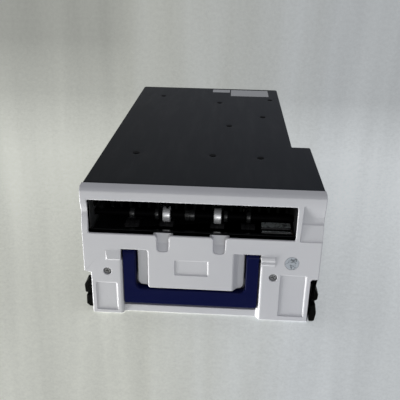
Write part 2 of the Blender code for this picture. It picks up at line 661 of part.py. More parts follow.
# ---------------------------------------------------------------- feed mechanism
def build_plates():
    # The left plate is cut away at the lower front (depth, z).
    outline = [(11, 47.5), (48.5, 47.5), (48.5, 3), (110, 3), (110, 128), (11, 128)]
    sheet = prism(outline, "x", PLATE_LEFT, PLATE_LEFT + PLATE_THICK)
    left = solid("mech_plate_left", sheet, plated_steel)
    sheet = prism(rect(11, 127, 3, 128), "x", PLATE_RIGHT, PLATE_RIGHT + PLATE_THICK)
    right = solid("mech_plate_right", sheet, plated_steel)
    # Turned-in tabs that take the bezel's screws.
    tab_depth = (12.0, 12.0 + PLATE_THICK)
    add(left, prism(rect(PLATE_LEFT + 0.5, -84.6, 48.0, 56.0), "y", *tab_depth))
    add(right, prism(rect(64.0, PLATE_RIGHT + 0.5, 42.0, 56.0), "y", *tab_depth))
    for plate, side, x in ((left, "left", PLATE_LEFT), (right, "right", PLATE_RIGHT)):
        cut(plate, rod("y", BEZEL_SCREWS[side], 1.9, 10, 16, 12))
        cut(plate, rod("x", GATE, SHAFT_BORE_R, x - 3, x + 4))
        cut(plate, rod("x", FEED, 5.3, x - 3, x + 4, 20))
        cut(plate, rod("x", PICK, SHAFT_BORE_R, x - 3, x + 4))
    cut(right, rod("x", INPUT, INPUT_BORE_R, PLATE_RIGHT - 3, PLATE_RIGHT + 4))


def build_gate():
    """The upper shaft of the nip, with its collars and metal idlers."""
    profile = [(PLATE_LEFT, 0), (PLATE_LEFT, SHAFT_R)]
    collars = ((-72.5, -67.5), (-47.5, -43.8), (-18.0, -8.0), (20.6, 24.2), (42.6, 46.8))
    for x0, x1 in collars:
        profile += [(x0, SHAFT_R), (x0, 6.0), (x1, 6.0), (x1, SHAFT_R)]
    profile += [(92.0, SHAFT_R), (92.0, 0)]
    solid("gate_shaft", lathe(profile, "x", GATE, 14), black_acetal)
    half = [(3.5, SHAFT_BORE_R), (3.5, 7.5), (3.0, GATE_R)]
    for side, x in IDLERS_X.items():
        solid("gate_idler_" + side, roller(x, half, GATE, 24), bright_steel, world(0, *GATE))


def build_feed():
    """The driven lower shaft of the nip, its rollers and bushes. Returns its axis."""
    origin = world(0, *FEED)
    axis = pivot("feed_axis", origin)
    shaft = rod("x", FEED, SHAFT_R, PLATE_LEFT, SHAFT_RIGHT)
    solid("feed_shaft", shaft, bright_steel, origin, axis)
    half = [(7, SHAFT_BORE_R), (7, 10.8), (6.4, FEED_R)]
    for i, x in enumerate(FEED_X, 1):
        solid("feed_roller_%d" % i, roller(x, half, FEED, 20), black_rubber, origin, axis)
    # Flanged bushes (x, radius).
    bore, body, flange = SHAFT_BORE_R, 5.0, 6.6
    bushes = {
        "left": [
            (PLATE_LEFT, bore), (PLATE_LEFT, body), (-107.4, body),
            (-107.4, flange), (-106.0, flange), (-106.0, bore),
        ],
        "right": [
            (87.2, bore), (87.2, flange), (88.6, flange),
            (88.6, body), (91.6, body), (91.6, bore),
        ],
    }
    for side, profile in bushes.items():
        solid("feed_bush_" + side, lathe(profile, "x", FEED, 14, bored=True), bronze)
    return axis


def build_pick():
    """The pick shaft and its rollers. Returns its axis."""
    origin = world(0, *PICK)
    axis = pivot("pick_axis", origin)
    shaft = rod("x", PICK, SHAFT_R, PLATE_LEFT, SHAFT_RIGHT)
    solid("pick_shaft", shaft, bright_steel, origin, axis)
    half = [(9, SHAFT_BORE_R), (9, 9.0), (8, 9.0), (8, PICK_R)]
    for side, x in PICK_X.items():
        solid("pick_roller_" + side, roller(x, half, PICK, 18), black_rubber, origin, axis)
    return axis


# ---------------------------------------------------------------- gears
def gear_outline(centre, teeth, phase):
    """Straight-sided teeth, a little thinner than half the pitch."""
    pitch_r = MODULE * teeth / 2
    step = 2 * math.pi / teeth
    root, tip = pitch_r - 1.2 * MODULE, pitch_r + 0.85 * MODULE
    points = []
    for i in range(teeth):
        for radius, part in ((root, -0.30), (tip, -0.13), (tip, 0.13), (root, 0.30)):
            angle = phase + i * step + part * step
            points.append(
                (centre[0] + radius * math.cos(angle), centre[1] + radius * math.sin(angle))
            )
    return points


def mesh_phase(own, other, teeth, other_teeth, other_phase):
    """The phase at which a tooth gap faces the other gear's tooth on their line of centres."""
    towards = math.atan2(other[1] - own[1], other[0] - own[0])
    back = towards + math.pi
    slip = (back - other_phase) * other_teeth / (2 * math.pi)
    return towards + (slip + 0.5) * 2 * math.pi / teeth


def idler_centre():
    """Below the line of centres, at one centre distance from both shafts."""
    run, rise = PICK[0] - FEED[0], PICK[1] - FEED[1]
    gap = math.hypot(run, rise)
    off = math.sqrt(IDLER_REACH**2 - (gap / 2) ** 2)
    return (
        (FEED[0] + PICK[0]) / 2 + rise / gap * off,
        (FEED[1] + PICK[1]) / 2 - run / gap * off,
    )


def build_gear(name, centre, teeth, phase, bore, parent=None, bore_segments=12):
    blank = prism(gear_outline(centre, teeth, phase), "x", GEAR_LEFT, GEAR_RIGHT)
    gear = solid(name, blank, white_acetal, world(0, *centre), parent)
    cut(gear, rod("x", centre, bore, GEAR_LEFT - 4, GEAR_RIGHT + 4, bore_segments))


def build_gears(feed_axis, pick_axis):
    """The train from the feed shaft over the idler and the pick shaft to the input."""
    teeth = SHAFT_TEETH
    idler = idler_centre()
    feed_phase = 0.0
    idler_phase = mesh_phase(idler, FEED, teeth, teeth, feed_phase)
    pick_phase = mesh_phase(PICK, idler, teeth, teeth, idler_phase)
    input_phase = mesh_phase(INPUT, PICK, INPUT_TEETH, teeth, pick_phase)
    input_axis = pivot("input_axis", world(0, *INPUT))
    build_gear("feed_gear", FEED, teeth, feed_phase, SHAFT_BORE_R, feed_axis)
    build_gear("idler_gear", idler, teeth, idler_phase, PIN_BORE_R)
    build_gear("pick_gear", PICK, teeth, pick_phase, SHAFT_BORE_R, pick_axis)
    build_gear("input_gear", INPUT, INPUT_TEETH, input_phase, INPUT_BORE_R, input_axis, 16)
    pin = [(90.8, 0), (90.8, 4.5), (93.6, 4.5), (93.6, PIN_R), (103.0, PIN_R), (103.0, 0)]
    solid("idler_pin", lathe(pin, "x", idler, 14), plated_steel)
    build_coupling(input_axis)


def build_coupling(input_axis):
    """The input shaft and its coupling head, with three crossed slots in the end."""
    profile = [
        (87.5, 0), (87.5, INPUT_SHAFT_R), (103.0, INPUT_SHAFT_R), (103.0, 9.5),
        (104.0, 10.4), (111.0, 10.4), (111.0, 0),
    ]
    blank = lathe(profile, "x", INPUT, 24)
    coupling = solid("drive_coupling", blank, black_acetal, world(0, *INPUT), input_axis)
    for i in range(3):
        slot = turned_rect(INPUT, 8, 1.4, math.radians(30 + 60 * i))
        cut(coupling, prism(slot, "x", 106.0, 113.0))


# ---------------------------------------------------------------- note guides
# Sections (depth, z) of the two curved sheets and of the lower guide's raised pad.
LOWER_SHEET = [
    (12, 84.8), (56, 84.8), (75.4, 78.2), (80.4, 71),
    (81.9, 71.6), (76.6, 79.6), (56.4, 86.3), (12, 86.3),
]
UPPER_SHEET = [
    (23, 119.4), (56, 119.4), (74, 113.8), (86, 102),
    (87.6, 103.2), (75, 115.6), (56.4, 121.2), (23, 121.2),
]
PAD = [
    (15.5, 85.5), (15.5, 89.2), (16.1, 90.1), (17.1, 90.1), (18.0, 88.8),
    (23.6, 88.8), (25.0, 90.6), (35.4, 90.6), (37.0, 85.5),
]
LINING_GAP = 0.15     # the lining's opening beyond the mouth's lower and upper edges


def build_lower_guide():
    guide = solid("lower_note_guide", prism(LOWER_SHEET, "x", GUIDE_LEFT, GUIDE_RIGHT), black_acetal)
    for x in FEED_X:
        cut(guide, prism(rounded(rect(x - 8.2, x + 8.2, 22.0, 44.0), 1.5, 2), "z", 80, 90))
    # A raised pad at the right, with a thin rib in front of it.
    add(guide, prism(PAD, "x", 57.0, 86.4))
    # Its front edge reaches up to the mouth's lining.
    x0, x1 = GUIDE_LEFT + 0.1, GUIDE_RIGHT - 0.1
    top = MOUTH_LOW - LINING_GAP
    add(guide, prism(rect(x0, x1, 12.2, 14.0), "z", 85.0, top))
    add(guide, prism(rect(x0, x1, 9.8, 14.0), "z", MOUTH_LOW - 1.2, top))


def build_lining():
    """A black lining round the mouth just behind its white edge."""
    left, right, low, top = MOUTH_LEFT, MOUTH_RIGHT, MOUTH_LOW, MOUTH_TOP
    outer = rect(left - 1.2, right + 1.2, low - 1.2, top + 1.2)
    lining = solid("mouth_lining", prism(outer, "y", LIP + 0.2, 9.5), black_acetal)
    opening = rect(left - 0.1, right + 0.1, low - LINING_GAP, top + LINING_GAP)
    cut(lining, prism(opening, "y", -5.0, 20.0))
    # It is set back where the white edge is thicker: at the left and above the slots.
    cut(lining, prism(rect(left - 3.0, left + 0.5, low - 3.0, top + 3.0), "y", -5.0, 4.0))
    for x0, x1 in SLOTS:
        cut(lining, prism(rect(x0 - 3.9, x1 + 3.9, low - 3.0, low + 1.0), "y", -5.0, 7.0))


def build_upper_guide():
    """A comb along the top of the mouth, then a curved sheet to the stack."""
    count, pitch, width = 22, 8.7, 2.4
    tip, root, top = 112.0, 118.2, 121.6
    comb = [(GUIDE_LEFT, root)]
    for i in range(count):
        x = -104.0 + i * pitch
        comb += [(x, root), (x, tip), (x + width, tip), (x + width, root)]
    comb += [(GUIDE_RIGHT, root), (GUIDE_RIGHT, top), (GUIDE_LEFT, top)]
    guide = solid("upper_note_guide", prism(comb, "y", 12.0, 24.0), black_acetal)
    add(guide, prism(UPPER_SHEET, "x", GUIDE_LEFT + 0.2, GUIDE_RIGHT - 0.2))


# ---------------------------------------------------------------- stacker
def build_stacker_plate():
    """The plate, and the guide rods and bushes it slides on."""
    y = STACKER_DEPTH
    origin = world(0, y, 0)
    axis = pivot("stacker_axis", origin)
    sheet = prism(rounded(rect(-97, 84, 4.5, 124), 4.0), "y", y, y + STACKER_THICK)
    plate = solid("stacker_plate", sheet, black_acetal, origin, axis)
    # Two upright ribs on the rear face, and an ear on the left edge level with the belt.
    for x in (-60, 44):
        add(plate, prism(rect(x - 2, x + 2, 30, 116), "y", y + STACKER_THICK - 0.5, y + 10))
    add(plate, prism(rect(-98.8, -94, 58, 82), "y", y, y + 12))
    for x in ROD_X.values():
        cut(plate, rod("y", (x, ROD_Z), 5.3, y - 4, y + 8))
    bore = ROD_R + CLEARANCE
    bush = [(y - 5, bore), (y - 5, 5.0), (y + 12, 5.0), (y + 12, bore)]
    for side, x in ROD_X.items():
        centre = (x, ROD_Z)
        bar = rod("y", centre, ROD_R, 88.0, BODY_REAR - WALL - CLEARANCE)
        solid("guide_rod_" + side, bar, bright_steel)
        ring = lathe(bush, "y", centre, 16, bored=True)
        solid("plate_bush_" + side, ring, white_acetal, origin, axis)


def build_belt():
    """The stacker belt on the left side, and its flanged pulleys."""
    flange = 9.6
    profile = [
        (PLATE_LEFT, 0), (PLATE_LEFT, 2.5), (-106.6, 2.5), (-106.6, flange), (-106.2, flange),
        (-106.2, PULLEY_R), (-99.8, PULLEY_R), (-99.8, flange), (-99.4, flange), (-99.4, 0),
    ]
    for end, depth in PULLEY_DEPTH.items():
        centre = (depth, PULLEY_Z)
        pulley = lathe(profile, "x", centre, 18)
        solid("belt_pulley_" + end, pulley, white_acetal, world(0, *centre))

    def loop(r):
        front, rear = ((depth, PULLEY_Z) for depth in PULLEY_DEPTH.values())
        quarter = math.pi / 2
        return arc(front, r, r, quarter, 3 * quarter, 8) + arc(rear, r, r, -quarter, quarter, 8)

    belt = solid("stacker_belt", prism(loop(PULLEY_R + 1.4), "x", -105.9, -100.1), black_rubber)
    cut(belt, prism(loop(PULLEY_R + 0.35), "x", -110, -96))


# ---------------------------------------------------------------- electrics
def build_connector():
    """A rear connector: a hollow shell with a tongue inside."""
    shell = prism(rounded(rect(40, 80, 22, 44), 1.0, 2), "y", 402.0, REAR)
    connector = solid("dock_connector", shell, black_acetal)
    cut(connector, prism(rounded(rect(44, 76, 26, 40), 1.0, 2), "y", 407.0, REAR + 3))
    add(connector, prism(rect(46, 74, 31.8, 34.2), "y", 406.0, REAR - 1.5))


def build_sensor_board():
    """An upright board near the right wall, with two components on its inner face."""
    board = solid("sensor_board", prism(rect(18, 78, 98, 126), "x", 104.0, 105.6), board_green)
    add(board, prism(rect(22, 36, 103, 119), "x", 101.0, 104.5))
    add(board, prism(rect(50, 60, 104, 114), "x", 102.4, 104.5))


build_body()
build_lid()
build_lid_fittings()
build_bezel()
build_bezel_fittings()
build_handle()
build_latches()
build_plates()
build_gate()
build_gears(build_feed(), build_pick())
build_lower_guide()
build_lining()
build_upper_guide()
build_stacker_plate()
build_belt()
build_connector()
build_sensor_board()
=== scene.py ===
"""The looks of a banknote cassette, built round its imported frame.

Metres, +Z up, +X to the right, front at -Y. Most sizes below are millimetres, with depth
counted from the front face towards +Y; at() and to_mm() go between the two.
"""

import json
import math

import bmesh
import bpy
from mathutils import Euler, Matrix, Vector
from mathutils.geometry import delaunay_2d_cdt

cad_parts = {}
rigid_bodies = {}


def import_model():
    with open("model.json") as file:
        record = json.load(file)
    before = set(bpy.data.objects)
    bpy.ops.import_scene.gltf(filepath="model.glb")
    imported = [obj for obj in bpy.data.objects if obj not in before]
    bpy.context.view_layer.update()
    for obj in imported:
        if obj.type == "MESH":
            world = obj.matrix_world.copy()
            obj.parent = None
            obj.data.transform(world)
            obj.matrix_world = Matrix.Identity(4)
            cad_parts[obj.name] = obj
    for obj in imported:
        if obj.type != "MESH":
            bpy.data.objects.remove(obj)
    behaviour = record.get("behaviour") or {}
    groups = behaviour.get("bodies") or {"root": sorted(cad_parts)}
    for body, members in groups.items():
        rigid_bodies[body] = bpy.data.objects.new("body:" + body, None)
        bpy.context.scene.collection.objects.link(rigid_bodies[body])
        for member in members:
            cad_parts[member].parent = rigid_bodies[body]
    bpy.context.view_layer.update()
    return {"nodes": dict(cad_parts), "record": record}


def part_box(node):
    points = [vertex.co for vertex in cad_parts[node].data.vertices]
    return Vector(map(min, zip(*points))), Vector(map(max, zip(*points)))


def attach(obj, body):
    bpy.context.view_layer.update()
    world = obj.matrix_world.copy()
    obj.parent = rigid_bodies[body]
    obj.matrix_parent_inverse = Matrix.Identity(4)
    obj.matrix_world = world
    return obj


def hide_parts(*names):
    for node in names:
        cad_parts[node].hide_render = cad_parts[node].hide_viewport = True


for obj in list(bpy.data.objects):
    bpy.data.objects.remove(obj, do_unlink=True)

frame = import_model()
NODES = frame["nodes"]
BODY_OF = {n: b for b, ns in frame["record"]["behaviour"]["bodies"].items() for n in ns}
MM = 0.001
FRONT_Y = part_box("qc_sticker")[0].y
SIDES = ("left", "right")


# ------------------------------------------------------------------ material kit
class Nodes:
    """A small wrapper that keeps node trees readable."""

    def __init__(self, tree, coords):
        self.tree = tree
        self.coords = self.new("ShaderNodeTexCoord").outputs[coords]

    def new(self, kind):
        return self.tree.nodes.new(kind)

    def put(self, socket, value):
        if isinstance(value, bpy.types.NodeSocket):
            self.tree.links.new(value, socket)
        else:
            socket.default_value = value

    def split(self):
        """The X, Y and Z of the coordinates."""
        node = self.new("ShaderNodeSeparateXYZ")
        self.put(node.inputs[0], self.coords)
        return node.outputs

    def combine(self, x, y):
        node = self.new("ShaderNodeCombineXYZ")
        self.put(node.inputs[0], x)
        self.put(node.inputs[1], y)
        return node.outputs[0]

    def mapped(self, scale, turn=(0, 0, 0)):
        node = self.new("ShaderNodeMapping")
        self.put(node.inputs["Vector"], self.coords)
        node.inputs["Scale"].default_value = scale
        node.inputs["Rotation"].default_value = turn
        return node.outputs["Vector"]

    def noise(self, scale, detail=3.0, rough=0.5, vector=None, distortion=0.0):
        node = self.new("ShaderNodeTexNoise")
        self.put(node.inputs["Vector"], vector if vector is not None else self.coords)
        node.inputs["Scale"].default_value = scale
        node.inputs["Detail"].default_value = detail
        node.inputs["Roughness"].default_value = rough
        node.inputs["Distortion"].default_value = distortion
        return node.outputs["Fac"]

    def ramp(self, value, span, to=(0.0, 1.0), kind="LINEAR"):
        """Maps the span of values on to the range in to."""
        node = self.new("ShaderNodeMapRange")
        node.interpolation_type = kind
        self.put(node.inputs["Value"], value)
        for key, number in zip(("From Min", "From Max", "To Min", "To Max"), (*span, *to)):
            node.inputs[key].default_value = number
        return node.outputs["Result"]

    def maths(self, operation, a, b):
        node = self.new("ShaderNodeMath")
        node.operation = operation
        self.put(node.inputs[0], a)
        self.put(node.inputs[1], b)
        return node.outputs[0]

    def vector_maths(self, operation, a, b, second=1, out="Vector"):
        node = self.new("ShaderNodeVectorMath")
        node.operation = operation
        self.put(node.inputs[0], a)
        self.put(node.inputs[second], b)
        return node.outputs[out]

    def mix(self, factor, a, b):
        node = self.new("ShaderNodeMix")
        node.data_type = "RGBA"
        self.put(node.inputs[0], factor)
        self.put(node.inputs[6], a if isinstance(a, bpy.types.NodeSocket) else (*a, 1.0))
        self.put(node.inputs[7], b if isinstance(b, bpy.types.NodeSocket) else (*b, 1.0))
        return node.outputs[2]

    def bump(self, height, strength, distance, normal=None):
        node = self.new("ShaderNodeBump")
        self.put(node.inputs["Height"], height)
        node.inputs["Strength"].default_value = strength
        node.inputs["Distance"].default_value = distance
        if normal is not None:
            self.put(node.inputs["Normal"], normal)
        return node.outputs["Normal"]


class Material(Nodes):
    def __init__(self, name):
        self.mat = bpy.data.materials.new(name)
        self.mat.use_nodes = True
        super().__init__(self.mat.node_tree, "Object")
        self.shader = self.tree.nodes["Principled BSDF"]

    def set(self, **values):
        for key, value in values.items():
            self.put(self.shader.inputs[key.replace("_", " ")], value)
        return self.mat


def shade(colour, factor):
    return tuple(c * factor for c in colour)


def moulded(name, colour, dark, rough, grain, speckle=0.0, coat=0.0, shine=0.5, pits=0.0):
    """Moulded plastic: faint cloudy colour, spark-eroded grain, handling smears in the gloss."""
    n = Material(name)
    cloud = n.ramp(n.noise(scale=14), span=(0.35, 0.7))
    slant = n.mapped(scale=(1, 1, 2.4), turn=(0.3, 0.2, 0.6))
    smear = n.noise(scale=32, detail=4, rough=0.6, vector=slant, distortion=0.6)
    smear = n.ramp(smear, span=(0.42, 0.75))
    tone = n.mix(n.maths("MULTIPLY", cloud, 0.5), colour, dark)
    if speckle:
        specks = n.ramp(n.noise(scale=420, detail=1), span=(0.72, 0.8))
        tone = n.mix(n.maths("MULTIPLY", specks, speckle), tone, shade(dark, 0.55))
    gloss = n.ramp(smear, span=(0, 1), to=(rough - 0.05, rough + 0.09))
    fine = n.bump(n.noise(scale=2600, detail=2), strength=grain, distance=0.00006)
    relief = n.bump(n.noise(scale=60, detail=2), strength=0.05, distance=0.0004, normal=fine)
    if pits:
        # A scuffed, pitted skin that catches the light in small points.
        pitted = n.ramp(n.noise(scale=620, detail=2, rough=0.7), span=(0.35, 0.75))
        relief = n.bump(pitted, strength=pits, distance=0.0006, normal=relief)
    return n.set(
        Base_Color=tone, Roughness=gloss, Normal=relief, Coat_Weight=coat, Coat_Roughness=0.2,
        Specular_IOR_Level=shine,
    )


def powder_coat(name, colour, light, rough, scuffs, fade=0.0):
    """Dark textured coat with hairline scuffs and a cloudy sheen.

    Fade paints the room's sheen into the colour: painted shade darkens it at the front, and a
    painted reflection greys it at the rear and turns it bluer at the right.
    """
    n = Material(name)
    cloud = n.ramp(n.noise(scale=7, detail=4, rough=0.6), span=(0.3, 0.75))

    def streaks(scale, detail, rough, stretch, turn, span):
        along = n.mapped(scale=stretch, turn=(0, 0, turn))
        return n.ramp(n.noise(scale, detail, rough, along), span)

    wipe = streaks(26, detail=3, rough=0.5, stretch=(3.0, 0.5, 1.0), turn=0.4, span=(0.45, 0.8))
    hair = streaks(90, detail=2, rough=0.4, stretch=(0.25, 9.0, 1.0), turn=0.9, span=(0.69, 0.73))
    cross = streaks(75, detail=2, rough=0.4, stretch=(8.0, 0.3, 1.0), turn=-0.35, span=(0.71, 0.75))
    lines = n.maths("MULTIPLY", n.maths("MAXIMUM", hair, cross), scuffs)
    tone = n.mix(n.maths("MULTIPLY", cloud, 0.45), colour, light)
    bare = tuple(min(1, c * 3.0 + 0.01) for c in light)
    tone = n.mix(n.maths("MULTIPLY", lines, 0.35), tone, bare)
    gleam = 0.5
    if fade:
        # Painted reflection and shade: the sheen's blue at the right, black at the front and grey
        # at the rear.
        blue, black, grey = (0.010, 0.019, 0.040), (0.006, 0.007, 0.008), (0.034, 0.038, 0.046)
        x, y, _ = n.split()
        rear = n.ramp(y, span=(-0.20, 0.20))
        side = n.ramp(x, span=(-0.11, 0.11))
        tone = n.mix(side, tone, n.mix(fade, tone, blue))
        tone = n.mix(rear, n.mix(fade, tone, black), n.mix(fade * 0.6, tone, grey))
        # The gleam grows from front left to rear right.
        rear_gleam, side_gleam = n.maths("MULTIPLY", rear, 0.34), n.maths("MULTIPLY", side, 0.14)
        gleam = n.maths("ADD", 0.27, n.maths("ADD", rear_gleam, side_gleam))
    sheen = n.ramp(wipe, span=(0, 1), to=(rough + 0.05, rough - 0.06))
    gloss = n.maths("SUBTRACT", sheen, n.maths("MULTIPLY", lines, 0.08))
    fine = n.noise(scale=1500, detail=2)
    coarse = n.maths("MULTIPLY", n.noise(scale=520, detail=2), 0.6)
    relief = n.bump(n.maths("ADD", fine, coarse), strength=0.22, distance=0.00008)
    return n.set(
        Base_Color=tone, Roughness=gloss, Metallic=0.0, Normal=relief, Specular_IOR_Level=gleam,
    )


def metal(name, colour, rough, brushed, streak, tarnish, metallic=1.0):
    """Turned or rolled metal: streaks along its working direction and light tarnish."""
    n = Material(name)
    lines = n.noise(scale=700, rough=0.6, vector=n.mapped(scale=brushed))
    stain = n.ramp(n.noise(scale=55, detail=4, rough=0.6), span=(0.5, 0.8))
    tone = n.mix(n.maths("MULTIPLY", stain, tarnish), colour, shade(colour, 0.45))
    gloss = n.ramp(lines, span=(0.3, 0.7), to=(rough, rough + streak))
    gloss = n.maths("ADD", gloss, n.maths("MULTIPLY", stain, 0.1))
    relief = n.bump(lines, strength=0.1, distance=0.00004)
    return n.set(Base_Color=tone, Roughness=gloss, Metallic=metallic, Normal=relief)


def rubber(name, colour, dusty):
    n = Material(name)
    dust = n.ramp(n.noise(scale=300, detail=4, rough=0.7), span=(0.5, 0.85))
    return n.set(
        Base_Color=n.mix(n.maths("MULTIPLY", dust, 0.35), colour, dusty),
        Roughness=n.ramp(dust, span=(0, 1), to=(0.62, 0.9)),
        Normal=n.bump(n.noise(scale=1800), strength=0.3, distance=0.0001),
        Specular_IOR_Level=0.35,
    )


def film(name, colour, mark, rough, marks=0.0):
    """A stuck-on film or paper label: soft sheen, slight waviness, faint fibre, some blots."""
    n = Material(name)
    fibre = n.ramp(n.noise(scale=900, rough=0.7), span=(0.35, 0.7))
    tone = n.mix(n.maths("MULTIPLY", fibre, 0.25), colour, mark)
    if marks:
        blot = n.ramp(n.noise(scale=260, detail=2, distortion=1.2), span=(0.53, 0.6))
        tone = n.mix(n.maths("MULTIPLY", blot, marks), tone, shade(mark, 0.3))
    wave = n.bump(n.noise(scale=110, detail=2), strength=0.12, distance=0.0004)
    gloss = n.ramp(fibre, span=(0, 1), to=(rough, rough + 0.12))
    return n.set(Base_Color=tone, Roughness=gloss, Normal=wave)


# ------------------------------------------------------------------ the materials
# Each has its main colour, then the one its clouds or marks tend to.
WHITE = moulded(
    "white_abs_look", (0.56, 0.56, 0.585), (0.50, 0.50, 0.53), rough=0.36, grain=0.10, speckle=0.12)
NAVY = moulded(
    "navy_abs_look", (0.0012, 0.0032, 0.040), (0.0009, 0.0025, 0.036),
    rough=0.34, grain=0.12, shine=0.085)
# Painted shade: a near-black copy of the navy for the handle's hubs, which stand in the dark.
HUB_SHADE = moulded(
    "handle_hub_look", (0.0010, 0.0012, 0.0035), (0.0008, 0.0008, 0.002),
    rough=0.5, grain=0.12, shine=0.06)
LID = powder_coat(
    "lid_coat_look", (0.0132, 0.0162, 0.0200), (0.021, 0.026, 0.032),
    rough=0.40, scuffs=0.5, fade=0.5)
CASE = powder_coat(
    "case_coat_look", (0.017, 0.018, 0.020), (0.026, 0.027, 0.030), rough=0.46, scuffs=0.8)
BLACK = moulded(
    "black_acetal_look", (0.006, 0.0065, 0.0075), (0.010, 0.0105, 0.011), rough=0.34, grain=0.2)
LATCH = moulded(
    "latch_acetal_look", (0.0011, 0.0013, 0.0010), (0.0018, 0.0019, 0.0016),
    rough=0.40, grain=0.2, shine=0.04, pits=0.8)
SPINDLE = moulded(
    "spindle_look", (0.0010, 0.0010, 0.0012), (0.0016, 0.0016, 0.002),
    rough=0.6, grain=0.2, shine=0.03)
COLLAR = moulded(
    "collar_look", (0.012, 0.0125, 0.013), (0.020, 0.0205, 0.021), rough=0.30, grain=0.1)
BLACK_MATT = moulded(
    "black_matt_look", (0.0020, 0.0024, 0.0023), (0.0034, 0.0038, 0.0036),
    rough=0.55, grain=0.35, shine=0.035)
LINING = moulded(
    "mouth_lining_look", (0.0008, 0.0011, 0.0010), (0.0016, 0.0019, 0.0018),
    rough=0.6, grain=0.35, shine=0.012)
GLOSS = moulded(
    "black_gloss_look", (0.004, 0.0045, 0.005), (0.008, 0.0085, 0.009),
    rough=0.16, grain=0.05, coat=0.25, shine=0.3)
RUBBER = rubber("roller_rubber_look", (0.010, 0.010, 0.011), dusty=(0.06, 0.058, 0.055))
CHROME = metal(
    "idler_metal_look", (0.96, 0.965, 0.98),
    rough=0.24, brushed=(1.0, 6.0, 6.0), streak=0.10, tarnish=0.06, metallic=0.55)
STEEL = metal(
    "shaft_steel_look", (0.62, 0.62, 0.63),
    rough=0.26, brushed=(40.0, 1.0, 1.0), streak=0.14, tarnish=0.2)
ZINC = metal(
    "zinc_plate_look", (0.44, 0.45, 0.46),
    rough=0.38, brushed=(1.0, 1.0, 8.0), streak=0.14, tarnish=0.35)
SCREW = metal(
    "screw_metal_look", (0.30, 0.30, 0.305),
    rough=0.42, brushed=(6.0, 1.0, 6.0), streak=0.12, tarnish=0.5)
SCREW_BLACK = metal(
    "cover_screw_look", (0.022, 0.022, 0.024),
    rough=0.5, brushed=(6.0, 6.0, 1.0), streak=0.12, tarnish=0.4)
ACETAL = moulded(
    "white_acetal_look", (0.66, 0.66, 0.62), (0.58, 0.57, 0.52), rough=0.45, grain=0.1)
LABEL = film("lid_label_look", (0.64, 0.65, 0.67), (0.50, 0.51, 0.53), rough=0.34)
STICKER = film(
    "round_sticker_look", (0.39, 0.42, 0.46), (0.32, 0.36, 0.40), rough=0.42, marks=0.9)
# Painted highlight: a pale film that stands for the gleam on the guide pad and the line in front of
# it.
PAD_HIGHLIGHT = film("guide_pad_look", (0.44, 0.48, 0.48), (0.16, 0.18, 0.18), rough=0.22, marks=0.8)
BOARD = film("board_mask_look", (0.015, 0.11, 0.045), (0.01, 0.07, 0.03), rough=0.3)
BRONZE = metal(
    "bush_bronze_look", (0.50, 0.33, 0.16),
    rough=0.42, brushed=(6.0, 1.0, 1.0), streak=0.15, tarnish=0.5)

LOOK = {}
for look, names in (
    (LID, "top_cover"), (CASE, "body_shell"), (WHITE, "front_bezel"), (NAVY, "carry_handle"),
    (STICKER, "qc_sticker"), (LABEL, "cover_label_small cover_label_large"),
    (ZINC, "cover_stiffener mech_plate_left mech_plate_right"), (BOARD, "sensor_board"),
    (STEEL, "idler_pin feed_shaft pick_shaft guide_rod_left guide_rod_right"),
    (STEEL, "handle_pin_left handle_pin_right latch_pin_left latch_pin_right"),
    (RUBBER, "stacker_belt pick_roller_left pick_roller_right"), (BLACK, "drive_coupling"),
    (LINING, "upper_note_guide mouth_lining"), (GLOSS, "lower_note_guide"),
    (BLACK_MATT, "stacker_plate dock_connector"), (SPINDLE, "gate_shaft"),
    (CHROME, "gate_idler_left gate_idler_right"), (BRONZE, "feed_bush_left feed_bush_right"),
    (SCREW, "bezel_screw_left bezel_screw_right"),
):
    LOOK.update((name, look) for name in names.split())
for node in NODES:
    if node.startswith("cover_screw"):
        LOOK[node] = SCREW_BLACK
    elif node.startswith("feed_roller"):
        LOOK[node] = RUBBER
    elif node.startswith("side_"):
        LOOK[node] = LATCH
    elif node.endswith("_gear") or node.startswith(("plate_bush", "belt_pulley")):
        LOOK[node] = ACETAL


# ------------------------------------------------------------------ geometry kit
def at(x, depth, z):
    """Millimetres, with depth behind the front face, to the frame's metres."""
    return Vector((x * MM, FRONT_Y + depth * MM, z * MM))


def to_mm(point):
    return point.x / MM, (point.y - FRONT_Y) / MM, point.z / MM


def box_mm(node):
    lo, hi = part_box(node)
    return to_mm(lo), to_mm(hi)


def centre_of(node):
    lo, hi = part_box(node)
    return to_mm((lo + hi) / 2)


def apply_modifier(obj, kind, **values):
    """Adds a modifier and writes its result into the object's mesh."""
    step = obj.modifiers.new(kind.lower(), kind)
    for key, value in values.items():
        setattr(step, key, value)
    graph = bpy.context.evaluated_depsgraph_get()
    made = bpy.data.meshes.new_from_object(obj.evaluated_get(graph))
    obj.modifiers.clear()
    name = obj.data.name
    obj.data = made
    made.name = name


def finish_piece(name, bm, node, angle, added_look=None, modifier=None, weighted=False):
    """Makes the object and lets it ride on the node's body.

    It takes the node's place and look, unless added_look makes it an addition to the node.
    """
    mesh = bpy.data.meshes.new(name)
    bm.normal_update()
    bm.to_mesh(mesh)
    bm.free()
    obj = bpy.data.objects.new(name, mesh)
    bpy.context.scene.collection.objects.link(obj)
    if modifier:
        kind, values = modifier
        apply_modifier(obj, kind, **values)
    obj.data.materials.clear()
    obj.data.materials.append(added_look or LOOK[node])
    obj.data.shade_smooth()
    obj.data.set_sharp_from_angle(angle=math.radians(angle))
    if weighted:
        apply_modifier(obj, "WEIGHTED_NORMAL", mode="FACE_AREA", weight=80, keep_sharp=True)
        apply_modifier(
            obj, "TRIANGULATE", min_vertices=5, ngon_method="BEAUTY", keep_custom_normals=True)
    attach(obj, BODY_OF[node])
    if not added_look:
        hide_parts(node)
    return obj


